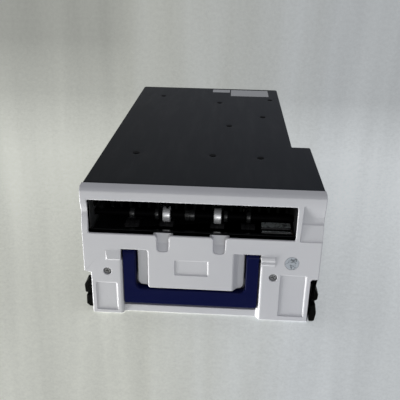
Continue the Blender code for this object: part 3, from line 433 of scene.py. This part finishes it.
def face_up(bm):
    """Gives an open, nearly level sheet upward normals."""
    bmesh.ops.recalc_face_normals(bm, faces=bm.faces)
    if sum(f.normal.z for f in bm.faces) < 0:
        bmesh.ops.reverse_faces(bm, faces=bm.faces)


def drop_loose(bm):
    bmesh.ops.delete(bm, geom=[v for v in bm.verts if not v.link_faces], context="VERTS")


def closed_edges(start, count):
    return [(start + k, start + (k + 1) % count) for k in range(count)]


def rounded_loop(points, radii, steps):
    """The polygon with an arc of its own radius at each corner."""
    out = []
    for i, point in enumerate(points):
        here = Vector(point)
        before, after = Vector(points[i - 1]) - here, Vector(points[(i + 1) % len(points)]) - here
        r = radii[i]
        if r <= 0:
            out.append(here)
            continue
        a, b = before.normalized(), after.normalized()
        angle = a.angle(b)
        centre = here + (a + b).normalized() * (r / math.sin(angle / 2))
        start = here + a * (r / math.tan(angle / 2)) - centre
        end = here + b * (r / math.tan(angle / 2)) - centre
        turn = start.angle(end) * (1 if start.x * end.y - start.y * end.x > 0 else -1)
        for k in range(steps + 1):
            c, s = math.cos(turn * k / steps), math.sin(turn * k / steps)
            out.append(centre + Vector((start.x * c - start.y * s, start.x * s + start.y * c)))
    return out


# ------------------------------------------------------------------ softened solids
HARD_ANGLE = 28.0   # degrees: an edge that turns by more than this is rounded


def cad_bmesh(node):
    """The node's solid with its shared corners joined and its flat faces whole again."""
    bm = bmesh.new()
    bm.from_mesh(NODES[node].data)
    bmesh.ops.remove_doubles(bm, verts=bm.verts, dist=2e-6)
    bmesh.ops.dissolve_limit(
        bm, angle_limit=math.radians(0.6), use_dissolve_boundaries=False,
        verts=bm.verts, edges=bm.edges,
    )
    bmesh.ops.recalc_face_normals(bm, faces=bm.faces)
    return bm


def plane_key(face):
    """Equal for faces that lie in one plane."""
    n = face.normal
    return round(n.x, 2), round(n.y, 2), round(n.z, 2), round(n.dot(face.verts[0].co) * 20000)


def room_for(edge, planes, wanted):
    """The share of its wanted width that an edge can have before it meets its neighbours'."""
    start, end = edge.verts[0].co, edge.verts[1].co
    along = (end - start).normalized()
    room = 1.0
    for face in edge.link_faces:
        loop = next(l for l in edge.link_loops if l.face == face)
        forward = (loop.link_loop_next.vert.co - loop.vert.co).normalized()
        inward = face.normal.cross(forward)
        for share in (0.1, 0.5, 0.9):
            p = start.lerp(end, share)
            for other in planes[plane_key(face)]:
                if other is edge:
                    continue
                ra, rb = other.verts[0].co - p, other.verts[1].co - p
                ua, ub = ra.dot(along), rb.dot(along)
                if ua * ub > 0 or ua == ub:
                    continue
                t = ua / (ua - ub)
                height = (ra + (rb - ra) * t).dot(inward)
                if height > 1e-6:
                    room = min(room, 0.92 * height / (wanted[edge] + wanted[other]))
    return room


def edge_weights(bm, width, radius_at):
    """Marks each hard edge with its share of the widest rounding: its own, where there is room."""
    layers = bm.edges.layers.float
    layer = layers.get("bevel_weight_edge") or layers.new("bevel_weight_edge")
    limit = math.radians(HARD_ANGLE)
    hard = [e for e in bm.edges if len(e.link_faces) == 2 and e.calc_face_angle(0.0) > limit]
    planes, wanted = {}, {}
    for e in hard:
        wanted[e] = radius_at(*(to_mm(v.co) for v in e.verts)) * MM if radius_at else width
        for f in e.link_faces:
            planes.setdefault(plane_key(f), []).append(e)
    for e in hard:
        e[layer] = max(0.01, min(1.0, room_for(e, planes, wanted) * wanted[e] / width))


def refine(node, name, radius, segments, angle=50.0, radius_at=None, reshape=None):
    """The node again, its hard edges slightly rounded as moulding or pressing leaves them."""
    bm = cad_bmesh(node)
    if reshape:
        reshape(bm)
        bm.normal_update()
    edge_weights(bm, radius * MM, radius_at)
    bevel = {
        "width": radius * MM, "segments": segments, "limit_method": "WEIGHT",
        "use_clamp_overlap": False, "miter_outer": "MITER_ARC", "profile": 0.5,
        "loop_slide": True,
    }
    return finish_piece(name, bm, node, angle, modifier=("BEVEL", bevel), weighted=True)


# ------------------------------------------------------------------ lid
# A pressed sheet with its edges bent down; its rear right corner is cut back in a step.
(LEFT, lid_front, SKIRT), (RIGHT, REAR, TOP) = box_mm("top_cover")
FRONT = lid_front + 0.7
STEP_X, STEP_DEPTH = 92.6, 133.4
BEND = 1.3
SHEET = 0.9
SCREWS = [centre_of("cover_screw_%d" % i)[:2] for i in range(1, 9)]
DIMPLE_RINGS = (4.0, 4.5, 5.3, 6.4, 7.8, 9.6, 12.0, 15.0)   # radii; the first edges the hole
# Rings that lead down into a screw hole: radius, height above the lid's top.
HOLE_RINGS = ((3.75, -0.75), (3.5, -1.0), (1.95, -1.75), (1.95, -2.1))
GRID = 9


def inset_loop(points, distance):
    """The loop moved inwards by its corner normals. It runs anticlockwise."""
    out = []
    for i, here in enumerate(points):
        a = (here - points[i - 1]).normalized()
        b = (points[(i + 1) % len(points)] - here).normalized()
        na, nb = Vector((-a.y, a.x)), Vector((-b.y, b.x))
        n = (na + nb).normalized()
        out.append(here + n * (distance / max(0.3, n.dot(na))))
    return out


def outward_moves(points):
    """For each point of a loop, the plan move that shifts both its sides out by one."""
    area = sum(a.x * b.y - b.x * a.y for a, b in zip(points, points[1:] + points[:1]))
    sign = 1.0 if area > 0 else -1.0
    moves = []
    for i, here in enumerate(points):
        a = (here - points[i - 1]).normalized()
        b = (points[(i + 1) % len(points)] - here).normalized()
        na, nb = Vector((a.y, -a.x)) * sign, Vector((b.y, -b.x)) * sign
        n = na + nb
        n = n.normalized() if n.length > 1e-6 else na
        moves.append(n / max(0.35, n.dot(na)))
    return moves


def screw_distance(p):
    return min(math.hypot(p.x - x, p.y - y) for x, y in SCREWS)


def right_limit(p):
    return RIGHT if p.y < STEP_DEPTH else STEP_X


def lid_height(p):
    """Height above the top: a dimple round each screw and a slow waviness that fades out."""
    d = screw_distance(p)
    z = -0.55 * math.exp(-((max(d - 3.8, 0) / 2.3) ** 1.3)) - 0.10 * math.exp(-((d / 13.0) ** 2))
    slow = 0.09 * math.sin(p.x * 0.021 + 0.6) * math.sin(p.y * 0.017 + 1.1)
    slow = slow + 0.05 * math.sin(p.x * 0.05 + p.y * 0.031)
    margins = (p.x - LEFT, REAR - p.y, max(0.0, p.y - FRONT), right_limit(p) - p.x)
    fade = min(1.0, *(margin / 25 for margin in margins))
    return z + slow * max(0.0, fade) - 0.02


def lid_plan():
    """Points and edges of the flat: its border, rings round each screw, and a light grid."""
    outline = [
        (LEFT, FRONT), (RIGHT, FRONT), (RIGHT, STEP_DEPTH), (STEP_X, STEP_DEPTH),
        (STEP_X, REAR), (LEFT, REAR),
    ]
    edge = rounded_loop(outline, radii=(0, 0, 2.4, 0, 3.4, 3.4), steps=6)
    points = [Vector((p.x, max(p.y, FRONT))) for p in inset_loop(edge, BEND)]
    edges = closed_edges(0, len(points))
    for sx, sy in SCREWS:
        for r in DIMPLE_RINGS:
            count = 36 if r < 10 else 24
            turns = [2 * math.pi * k / count for k in range(count)]
            ring = [Vector((sx + r * math.cos(t), sy + r * math.sin(t))) for t in turns]
            inside = all(
                LEFT + BEND < v.x < RIGHT - BEND and FRONT < v.y < REAR - BEND for v in ring)
            if sy > STEP_DEPTH:
                inside = inside and max(v.x for v in ring) < STEP_X - BEND
            if inside:
                edges += closed_edges(len(points), count)
                points += ring

    def clear(v):
        if screw_distance(v) < 17:
            return False
        in_step = v.x > STEP_X - 4 and abs(v.y - STEP_DEPTH) < 5
        return LEFT + 4 < v.x < right_limit(v) - 4 and v.y < REAR - 4 and not in_step

    for gx in range(int(LEFT) + 5, int(RIGHT), GRID):
        for gy in range(int(FRONT) + 5, int(REAR), GRID):
            v = Vector((gx + 0.13, gy + 0.17))
            if clear(v):
                points.append(v)
    return points, edges


def on_flat(p):
    if not (LEFT + BEND - 0.01 < p.x < RIGHT - BEND + 0.01):
        return False
    if not (FRONT - 0.01 < p.y < REAR - BEND + 0.01):
        return False
    if p.x > STEP_X - BEND and p.y > STEP_DEPTH - BEND:
        return False
    return screw_distance(p) >= DIMPLE_RINGS[0] * 0.995


def take_loop(edges_left):
    """Takes one closed loop of border edges out of the set, as its vertices in order."""
    first = edges_left.pop()
    loop = [first.verts[0], first.verts[1]]
    while True:
        step = next((e for e in loop[-1].link_edges if e in edges_left), None)
        if step is None:
            return loop
        edges_left.discard(step)
        other = step.other_vert(loop[-1])
        if other is loop[0]:
            return loop
        loop.append(other)


def hole_rings(bm, loop, screw):
    centre = at(*screw, TOP)
    rings = [loop]
    for r, rise in HOLE_RINGS:
        ring = []
        for v in loop:
            reach = (v.co - centre).xy.length
            x = (v.co.x - centre.x) / reach * r * MM + centre.x
            y = (v.co.y - centre.y) / reach * r * MM + centre.y
            ring.append(bm.verts.new(Vector((x, y, centre.z + rise * MM))))
        rings.append(ring)
    return rings


def skirt_rings(bm, loop, steps=5):
    """The bend round the outer border, and the skirt below it."""
    plan = [Vector(to_mm(v.co)[:2]) for v in loop]
    moves = outward_moves(plan)
    rings = [loop]
    for k in range(1, steps + 1):
        t = math.pi / 2 * k / steps
        out = BEND * math.sin(t)
        z = TOP - 0.02 - BEND * (1 - math.cos(t))
        ring = []
        for p, move in zip(plan, moves):
            q = p + Vector((move.x * out, 0.0 if p.y < FRONT + 0.05 else move.y * out))
            ring.append(bm.verts.new(at(q.x, q.y, z)))
        rings.append(ring)
    rings.append([bm.verts.new(Vector((v.co.x, v.co.y, SKIRT * MM))) for v in rings[-1]])
    return rings


def build_lid():
    points, edges = lid_plan()
    points, _, faces, _, _, _ = delaunay_2d_cdt(points, edges, [], 0, 1e-5)
    bm = bmesh.new()
    made = [bm.verts.new(at(p.x, p.y, TOP + lid_height(p))) for p in points]
    for face in faces:
        if on_flat(sum((points[i] for i in face), Vector((0, 0))) / len(face)):
            bm.faces.new([made[i] for i in face])
    drop_loose(bm)
    face_up(bm)

    border = {e for e in bm.edges if e.is_boundary}
    loops = []
    while border:
        loops.append(take_loop(border))
    for loop in loops:
        mid = (sum((v.co for v in loop), Vector()) / len(loop)).xy
        near = min(SCREWS, key=lambda s: (mid - at(*s, 0).xy).length)
        hole = len(loop) < 60 and (mid - at(*near, 0).xy).length < 2 * MM
        rings = hole_rings(bm, loop, near) if hole else skirt_rings(bm, loop)
        for one, two in zip(rings, rings[1:]):
            for k in range(len(one)):
                j = (k + 1) % len(one)
                # The front stays open: the skirt does not cross the mouth of the box.
                at_front = all(
                    abs(v.co.y - (FRONT_Y + FRONT * MM)) < 1e-6 for v in (one[k], one[j]))
                if hole or not at_front:
                    bm.faces.new((one[k], one[j], two[j], two[k]))
    drop_loose(bm)
    bmesh.ops.recalc_face_normals(bm, faces=bm.faces)
    level = [f for f in bm.faces if abs(f.normal.z) > 0.9]
    if sum(f.normal.z * f.calc_area() for f in level) < 0:
        bmesh.ops.reverse_faces(bm, faces=bm.faces)
    solid = {"thickness": SHEET * MM, "offset": -1.0, "use_even_offset": False}
    finish_piece("lid_panel", bm, "top_cover", 50.0, modifier=("SOLIDIFY", solid))


# ------------------------------------------------------------------ thin films
def film_sheet(
    name, node, bounds, corner, corner_steps, cells, height, thickness, added_look=None,
):
    """A thin level sheet with rounded corners; height gives its top at x and depth."""
    x0, x1, y0, y1 = bounds
    columns, rows = cells
    corners = [(x0, y0), (x1, y0), (x1, y1), (x0, y1)]
    points = rounded_loop(corners, (corner,) * 4, corner_steps)
    edges = closed_edges(0, len(points))
    for i in range(1, columns):
        for j in range(1, rows):
            points.append(Vector((x0 + (x1 - x0) * i / columns, y0 + (y1 - y0) * j / rows)))
    points, _, faces, _, _, _ = delaunay_2d_cdt(points, edges, [], 1, 1e-5)
    bm = bmesh.new()
    made = [bm.verts.new(at(p.x, p.y, height(p.x, p.y))) for p in points]
    for face in faces:
        bm.faces.new([made[i] for i in face])
    face_up(bm)
    solid = {"thickness": thickness * MM, "offset": -1.0}
    finish_piece(name, bm, node, 60.0, added_look, ("SOLIDIFY", solid))


def build_label(name, node):
    """A stuck-on label, slightly rippled, its front right corner lifted the most."""
    (x0, y0, _), (x1, y1, top) = box_mm(node)

    def height(x, y):
        u, v = (x - x0) / (x1 - x0), (y - y0) / (y1 - y0)
        corner = max(0.0, abs(u - 0.5) * 2 - 0.8) * max(0.0, abs(v - 0.5) * 2 - 0.7)
        peel = 2.4 * corner * (1 if u > 0.5 and v < 0.5 else 0.25)
        return top + (0.26 + 0.035 * math.sin(u * 9 + 1) * math.sin(v * 5) + peel)

    film_sheet(
        name, node, (x0, x1, y0, y1), corner=1.2, corner_steps=5, cells=(14, 8),
        height=height, thickness=0.12)


# Pale strips on the lower guide, painted as its highlight band and line: name, left, right, front
# depth, rear depth, height, ripples or not.
GUIDE_HIGHLIGHT_STRIPS = (
    ("guide_pad_strip", 57.6, 86.0, 25.1, 35.2, 90.62, True),
    ("guide_rib_strip", 57.6, 86.0, 16.15, 17.05, 90.14, False),
)


def build_guide_highlight_strips():
    """The pale strip painted as a highlight band on the pad at the right of the mouth, and the thin
    one in front of it, painted as a highlight line.
    """
    guide_top = box_mm("lower_note_guide")[1][2]
    for name, *bounds, z, rippled in GUIDE_HIGHLIGHT_STRIPS:

        def height(x, y):
            wave = 0.05 * math.sin(x * 0.9) + 0.04 * math.sin(x * 0.37 + y * 1.1)
            return min(z, guide_top + 0.1) + 0.14 + (wave if rippled else 0.0)

        film_sheet(
            name, "lower_note_guide", bounds, corner=0.35, corner_steps=3, cells=(30, 6),
            height=height, thickness=0.1, added_look=PAD_HIGHLIGHT)


# ------------------------------------------------------------------ rollers and shafts
SPINDLE_RADIUS, SPINDLE_CHAMFER = 3.0, 0.4
COLLAR_BORE, COLLAR_RADIUS = 3.02, 6.0
COLLARS = ((-72.5, -67.5), (-47.5, -43.8), (-18.0, -8.0), (20.6, 24.2), (42.6, 46.8))   # x ends
RIB_STRIPS = 48   # strips round a tyre, raised and sunk in turn

# Left halves of the turned sections: distance from the middle, radius.
IDLER_HALF = (
    (3.5, 3.3), (3.5, 4.6), (2.9, 4.8), (2.9, 6.3), (3.5, 6.5), (3.5, 7.45), (3.35, 7.75),
    (2.9, 7.92), (1.5, 7.99), (0, 8.0),
)
FEED_HALF = (
    (7, 3.3), (7, 7.6), (6.3, 8.0), (6.3, 8.8), (7, 9.0), (7, 11.2), (6.6, 11.8),
    (2.6, 11.85), (2.3, 11.4), (1.7, 11.4), (1.4, 11.85),
)
PICK_HALF = ((9, 3.3), (9, 8.6), (8.6, 9.0), (8, 9.0), (8, 11.2), (7.6, 11.8))
# Stations of the whole section that carry the ribs.
FEED_RIBBED = (6, 7, 10, 11, 14, 15)
PICK_RIBBED = (5, 6)


def turned(
    name, node, profile, centre, segments, closed=True, rib=0.0, ribbed=(), added_look=None,
):
    """A piece turned about an X axis: profile holds (x, radius), as a closed loop if bored."""
    bm = bmesh.new()
    rings = []
    cy, cz = centre
    for index, (x, r) in enumerate(profile):
        if r <= 1e-6:
            rings.append([bm.verts.new(at(x, cy, cz))])
            continue
        ring = []
        for k in range(segments):
            t = 2 * math.pi * k / segments
            radius = r
            if index in ribbed:
                radius += rib * (1 if (k * RIB_STRIPS // segments) % 2 else -1)
            ring.append(bm.verts.new(at(x, cy + radius * math.cos(t), cz + radius * math.sin(t))))
        rings.append(ring)
    pairs = list(zip(rings, rings[1:])) + ([(rings[-1], rings[0])] if closed else [])
    for one, two in pairs:
        for k in range(segments):
            j = (k + 1) % segments
            if len(one) == 1:
                bm.faces.new((one[0], two[j], two[k]))
            elif len(two) == 1:
                bm.faces.new((one[k], one[j], two[0]))
            else:
                bm.faces.new((one[k], one[j], two[j], two[k]))
    bmesh.ops.recalc_face_normals(bm, faces=bm.faces)
    finish_piece(name, bm, node, 32.0, added_look)


def build_ring(name, node, half, segments, rib=0.0, ribbed=()):
    """A bored ring whose section is a left half and its mirror image."""
    x, cy, cz = centre_of(node)
    left = [(x - reach, r) for reach, r in half]
    right = [(x + reach, r) for reach, r in reversed(half) if reach]
    turned(name, node, left + right, (cy, cz), segments, rib=rib, ribbed=ribbed)


def build_gate_spindle():
    """The gate spindle and its collars, on the idlers' axis."""
    axis = centre_of("gate_idler_left")[1:]
    (x0, _, _), (x1, _, _) = box_mm("gate_shaft")
    r, cut = SPINDLE_RADIUS, SPINDLE_CHAMFER
    profile = [(x0, 0.0), (x0, r - cut), (x0 + cut, r), (x1 - cut, r), (x1, r - cut), (x1, 0.0)]
    turned("gate_spindle", "gate_shaft", profile, axis, 48, closed=False)
    r = COLLAR_RADIUS
    for i, (a, b) in enumerate(COLLARS):
        ring = [(a, COLLAR_BORE), (a, 5.3), (a + 0.25, 5.8), (a + 0.8, r)]
        if b - a > 8:   # the long collar has a groove round its middle
            m = (a + b) / 2
            ring += [(m - 0.6, r), (m - 0.4, 5.3), (m + 0.4, 5.3), (m + 0.6, r)]
        ring += [(b - 0.8, r), (b - 0.25, 5.8), (b, 5.3), (b, COLLAR_BORE)]
        turned("gate_collar_%d" % (i + 1), "gate_shaft", ring, axis, 48, added_look=COLLAR)


def build_rollers():
    for side in SIDES:
        build_ring("idler_ring_" + side, "gate_idler_" + side, IDLER_HALF, 72)
    for i in range(1, 5):
        build_ring("feed_tyre_%d" % i, "feed_roller_%d" % i, FEED_HALF, 96, 0.12, FEED_RIBBED)
    for side in SIDES:
        build_ring("pick_tyre_" + side, "pick_roller_" + side, PICK_HALF, 96, 0.14, PICK_RIBBED)


# ------------------------------------------------------------------ front moulding
# Areas of small detail on the front, with finer edges: left, right, bottom, top.
FINE_AREAS = ((-25.2, 6.2, 47.1, 62.7), (-103.0, -83.1, 4.0, 34.6), (77.2, 101.1, 5.5, 51.2))
# Lines of the top cap's curve: (depth, z) in the solid, (depth, z) as moulded.
CAP_MOVES = (((0.35, 133.0), (0.95, 133.6)), ((1.3, 133.9), (3.3, 135.35)))


def bezel_radius(a, b):
    """How round an edge of the front moulding is, from its two ends (x, depth, z)."""
    def at_x(x, tolerance=0.15):
        return abs(a[0] - x) < tolerance and abs(b[0] - x) < tolerance

    def at_z(z, tolerance=0.15):
        return abs(a[2] - z) < tolerance and abs(b[2] - z) < tolerance

    x, z = (a[0] + b[0]) / 2, (a[2] + b[2]) / 2
    front = max(a[1], b[1]) < 0.1 and min(a[1], b[1]) > -0.1
    for x0, x1, z0, z1 in FINE_AREAS:
        if x0 - 1.0 < x < x1 + 1.0 and z0 - 1.0 < z < z1 + 1.0:
            return 0.45 if front else 0.22
    if not front:
        in_mouth = 88.0 < z < 126.0 and min(a[1], b[1]) > 1.5 and -110 < x < 90
        return 0.35 if in_mouth else 0.8
    if x < -106.9:   # left end; its long level edges are sharper
        return 1.3 if not at_z(z, 0.3) or abs(a[0] - b[0]) < 3 else 0.8
    if x > 106.9:   # right end
        return 1.3
    if at_z(72.8) and x < -49.0 or at_z(31.2):
        return 1.4
    if at_x(-51.4, 2.6) and 31.0 < z < 73.0:
        return 1.7
    if (at_x(-30.9) or at_x(22.9)) and 72.0 < z < 87.5:
        return 1.6
    if at_x(88.5) and 89.0 < z < 124.0 or at_z(123.4):   # right and top of the mouth
        return 1.3
    if at_z(89.3):   # bottom of the mouth
        return 1.1
    return 0.8


def bezel_reshape(bm):
    """The top cap rolls over in a wider curve than the solid's three flats."""
    for v in bm.verts:
        _, depth, z = to_mm(v.co)
        for (d0, z0), (d1, z1) in CAP_MOVES:
            if abs(depth - d0) < 0.06 and abs(z - z0) < 0.06:
                v.co.y, v.co.z = FRONT_Y + d1 * MM, z1 * MM


# ------------------------------------------------------------------ handle
def handle_ends():
    lo, hi = box_mm("carry_handle")
    return lo[0], hi[0]


def handle_radius(a, b):
    """Edges are well rounded, except on the hubs that turn inside the housings."""
    left, right = handle_ends()
    x, z = (a[0] + b[0]) / 2, (a[2] + b[2]) / 2
    return 0.35 if z > 57.0 and (x < left + 4.0 or x > right - 4.0) else 1.3


def paint_hub_shade(obj):
    """Painted shade: the hubs and the outer faces of the arms' upper ends stand in the dark, so
    they get a near-black copy of the navy.
    """
    obj.data.materials.append(HUB_SHADE)
    left, right = handle_ends()
    for face in obj.data.polygons:
        x, z = face.center.x / MM, face.center.z / MM
        if z > 60.5 and (x < left + 1.25 or x > right - 1.15):
            face.material_index = 1


# ------------------------------------------------------------------ assembly
# Pieces with plain rounded edges: node, piece, edge radius, segments.
SIDE_PIECES = (
    ("side_latch_", "latch_hook_", 0.6, 3), ("side_guide_", "guide_lug_", 0.6, 3),
    ("bezel_screw_", "bezel_screw_head_", 0.18, 2),
)
PLAIN_PIECES = (
    ("qc_sticker", "round_sticker", 0.12, 2), ("body_shell", "case_shell", 0.5, 2),
    ("upper_note_guide", "comb_guide", 0.35, 2), ("lower_note_guide", "lower_guide", 0.4, 2),
    ("mouth_lining", "mouth_frame", 0.25, 2), ("drive_coupling", "drive_dog", 0.4, 2),
    ("dock_connector", "rear_connector", 0.4, 2), ("stacker_plate", "pusher_plate", 0.5, 2),
)

build_lid()
build_guide_highlight_strips()
for size in ("small", "large"):
    build_label(size + "_label", "cover_label_" + size)
build_gate_spindle()
build_rollers()
refine(
    "front_bezel", "front_moulding", 1.7, 4, angle=40.0,
    radius_at=bezel_radius, reshape=bezel_reshape)
paint_hub_shade(refine("carry_handle", "handle_grip", 1.3, 4, angle=40.0, radius_at=handle_radius))
for side in SIDES:
    for node, name, radius, segments in SIDE_PIECES:
        refine(node + side, name + side, radius, segments)
for piece in PLAIN_PIECES:
    refine(*piece)
for node, obj in NODES.items():
    obj.data.materials.clear()
    obj.data.materials.append(LOOK[node])
    obj.data.shade_smooth()
    obj.data.set_sharp_from_angle(angle=math.radians(35))


# ------------------------------------------------------------------ floor, light, camera
FLOOR_GLOW = 0.62
ROOM = (0.46, 0.13)   # the room's brightness above and in front, and behind


def floor_look():
    """Cloth, warm at the left and cool at the right, with painted shade: dimmer in front of the box
    and into the distance, darkest in the far left corner, and painted light and shade in soft fold
    bands.
    """
    n = Material("floor_look")
    x, y, _ = n.split()
    # Sweep and rise follow the view: both shrink with the distance from 0.72 m in front.
    reach = n.maths("MAXIMUM", n.maths("ADD", y, 0.72), 0.25)
    sweep = n.maths("DIVIDE", n.maths("SUBTRACT", x, 0.02), reach)
    rise = n.maths("DIVIDE", 1.0, reach)
    seen = n.combine(sweep, n.maths("MULTIPLY", rise, 0.34))
    # Painted light and shade of the cloth's folds: soft bands along the view, lighter and darker in
    # turn.
    fold = n.combine(sweep, n.maths("MULTIPLY", rise, 0.03))
    cloud = n.ramp(n.noise(scale=16, detail=2, vector=fold), span=(0.3, 0.7), to=(-1.0, 1.0))
    blotch = n.noise(scale=170, detail=4, rough=0.7, vector=seen)
    blotch = n.ramp(blotch, span=(0.3, 0.7), to=(-1.0, 1.0))
    fine = n.noise(scale=150, detail=4, rough=0.7)
    # Painted shade: dimmer in front of the box and into the distance, and a painted shadow in the
    # far left corner.
    near = n.ramp(y, span=(-0.20, 0.12), to=(0.86, 1.0))
    far = n.ramp(y, span=(0.28, 0.72), to=(1.0, 0.72))
    left = n.ramp(sweep, span=(-0.13, -0.21), to=(0.0, 0.22))
    corner = n.maths("MULTIPLY", left, n.ramp(y, span=(0.7, 1.6)))
    level = n.maths("MULTIPLY", n.maths("MULTIPLY", near, far), n.maths("SUBTRACT", 1.0, corner))
    grain = n.maths("ADD", n.maths("MULTIPLY", cloud, 0.08), n.maths("MULTIPLY", blotch, 0.06))
    level = n.maths("MULTIPLY", level, n.maths("ADD", 1.0, grain))
    drift = n.maths("ADD", sweep, n.maths("MULTIPLY", cloud, 0.05))
    warm, cool = (1.02, 1.02, 0.93), (0.985, 1.01, 1.03)
    tint = n.mix(n.ramp(drift, span=(-0.16, 0.16)), warm, cool)
    pale, dark = (0.61, 0.62, 0.615), (0.38, 0.39, 0.39)
    tone = n.mix(n.ramp(fine, span=(0.25, 0.75), to=(0.0, 0.22)), pale, dark)
    tone = n.vector_maths("MULTIPLY", tone, tint)
    tone = n.vector_maths("SCALE", tone, level, second="Scale")
    weave = n.maths("ADD", fine, n.noise(scale=320))
    return n.set(
        Base_Color=tone, Roughness=n.ramp(fine, span=(0.3, 0.7), to=(0.42, 0.56)),
        Specular_IOR_Level=0.2, Normal=n.bump(weave, strength=0.12, distance=0.0006),
        Emission_Color=tone, Emission_Strength=FLOOR_GLOW,
    )


def build_floor():
    look = floor_look()
    bm = bmesh.new()
    bmesh.ops.create_grid(bm, x_segments=8, y_segments=8, size=6.0)
    bmesh.ops.translate(bm, verts=bm.verts, vec=(0, 2.5, -0.0005))
    mesh = bpy.data.meshes.new("floor")
    bm.to_mesh(mesh)
    bm.free()
    mesh.materials.append(look)
    floor = bpy.data.objects.new("floor", mesh)
    bpy.context.scene.collection.objects.link(floor)
    floor.visible_shadow = False   # the low lamp shines up through it


def area(name, place, aim, size, power, colour):
    light = bpy.data.lights.new(name, "AREA")
    light.shape = "RECTANGLE"
    light.size, light.size_y = size
    light.energy = power
    light.color = colour
    obj = bpy.data.objects.new(name, light)
    obj.location = place
    obj.rotation_euler = (Vector(aim) - Vector(place)).to_track_quat("-Z", "Y").to_euler()
    bpy.context.scene.collection.objects.link(obj)


def build_room():
    """A soft room: dim behind the cassette, brighter overhead and in front, dark below."""
    world = bpy.data.worlds.new("soft_room")
    bpy.context.scene.world = world
    world.use_nodes = True
    n = Nodes(world.node_tree, "Generated")
    x, _, z = n.split()
    dim_side = (0.05, 0.80, -0.60)
    lean = n.vector_maths("DOT_PRODUCT", n.coords, dim_side, out="Value")
    dim = n.ramp(lean, span=(-0.75, 0.55), to=ROOM, kind="SMOOTHSTEP")
    level = n.maths("MULTIPLY", dim, n.ramp(z, span=(-0.06, 0.04)))
    tint = n.new("ShaderNodeValToRGB")
    n.put(tint.inputs[0], n.ramp(x, span=(-1.0, 1.0)))
    left_end, right_end = tint.color_ramp.elements
    left_end.color = (1.0, 1.0, 0.98, 1)
    right_end.color = (0.93, 0.96, 1.06, 1)
    back = n.tree.nodes["Background"]
    n.put(back.inputs[0], tint.outputs[0])
    n.put(back.inputs[1], level)


def build_lights():
    area(
        "window_low_left", place=(-1.75, -0.42, -1.3), aim=(0, -0.15, 0.06), size=(1.3, 1.3),
        power=108.0, colour=(1.0, 1.0, 0.985))
    area(
        "front_card", place=(0.4, -2.35, 0.25), aim=(0, -0.2, 0.08), size=(1.2, 0.5),
        power=6.6, colour=(1.0, 1.0, 1.0))


def build_camera():
    camera = bpy.data.cameras.new("camera")
    camera.sensor_width = 36.0
    camera.lens = 52.587
    camera.clip_start, camera.clip_end = 0.05, 50.0
    obj = bpy.data.objects.new("camera", camera)
    bpy.context.scene.collection.objects.link(obj)
    obj.location = at(x=23.5, depth=-489.3, z=342.0)
    pitch, roll, yaw = 66.38, -0.92, 3.35
    obj.rotation_euler = Euler([math.radians(turn) for turn in (pitch, roll, yaw)], "XYZ")
    bpy.context.scene.camera = obj


build_floor()
build_room()
build_lights()
build_camera()
bpy.context.scene.view_settings.view_transform = "Standard"
bpy.context.scene.view_settings.look = "None"
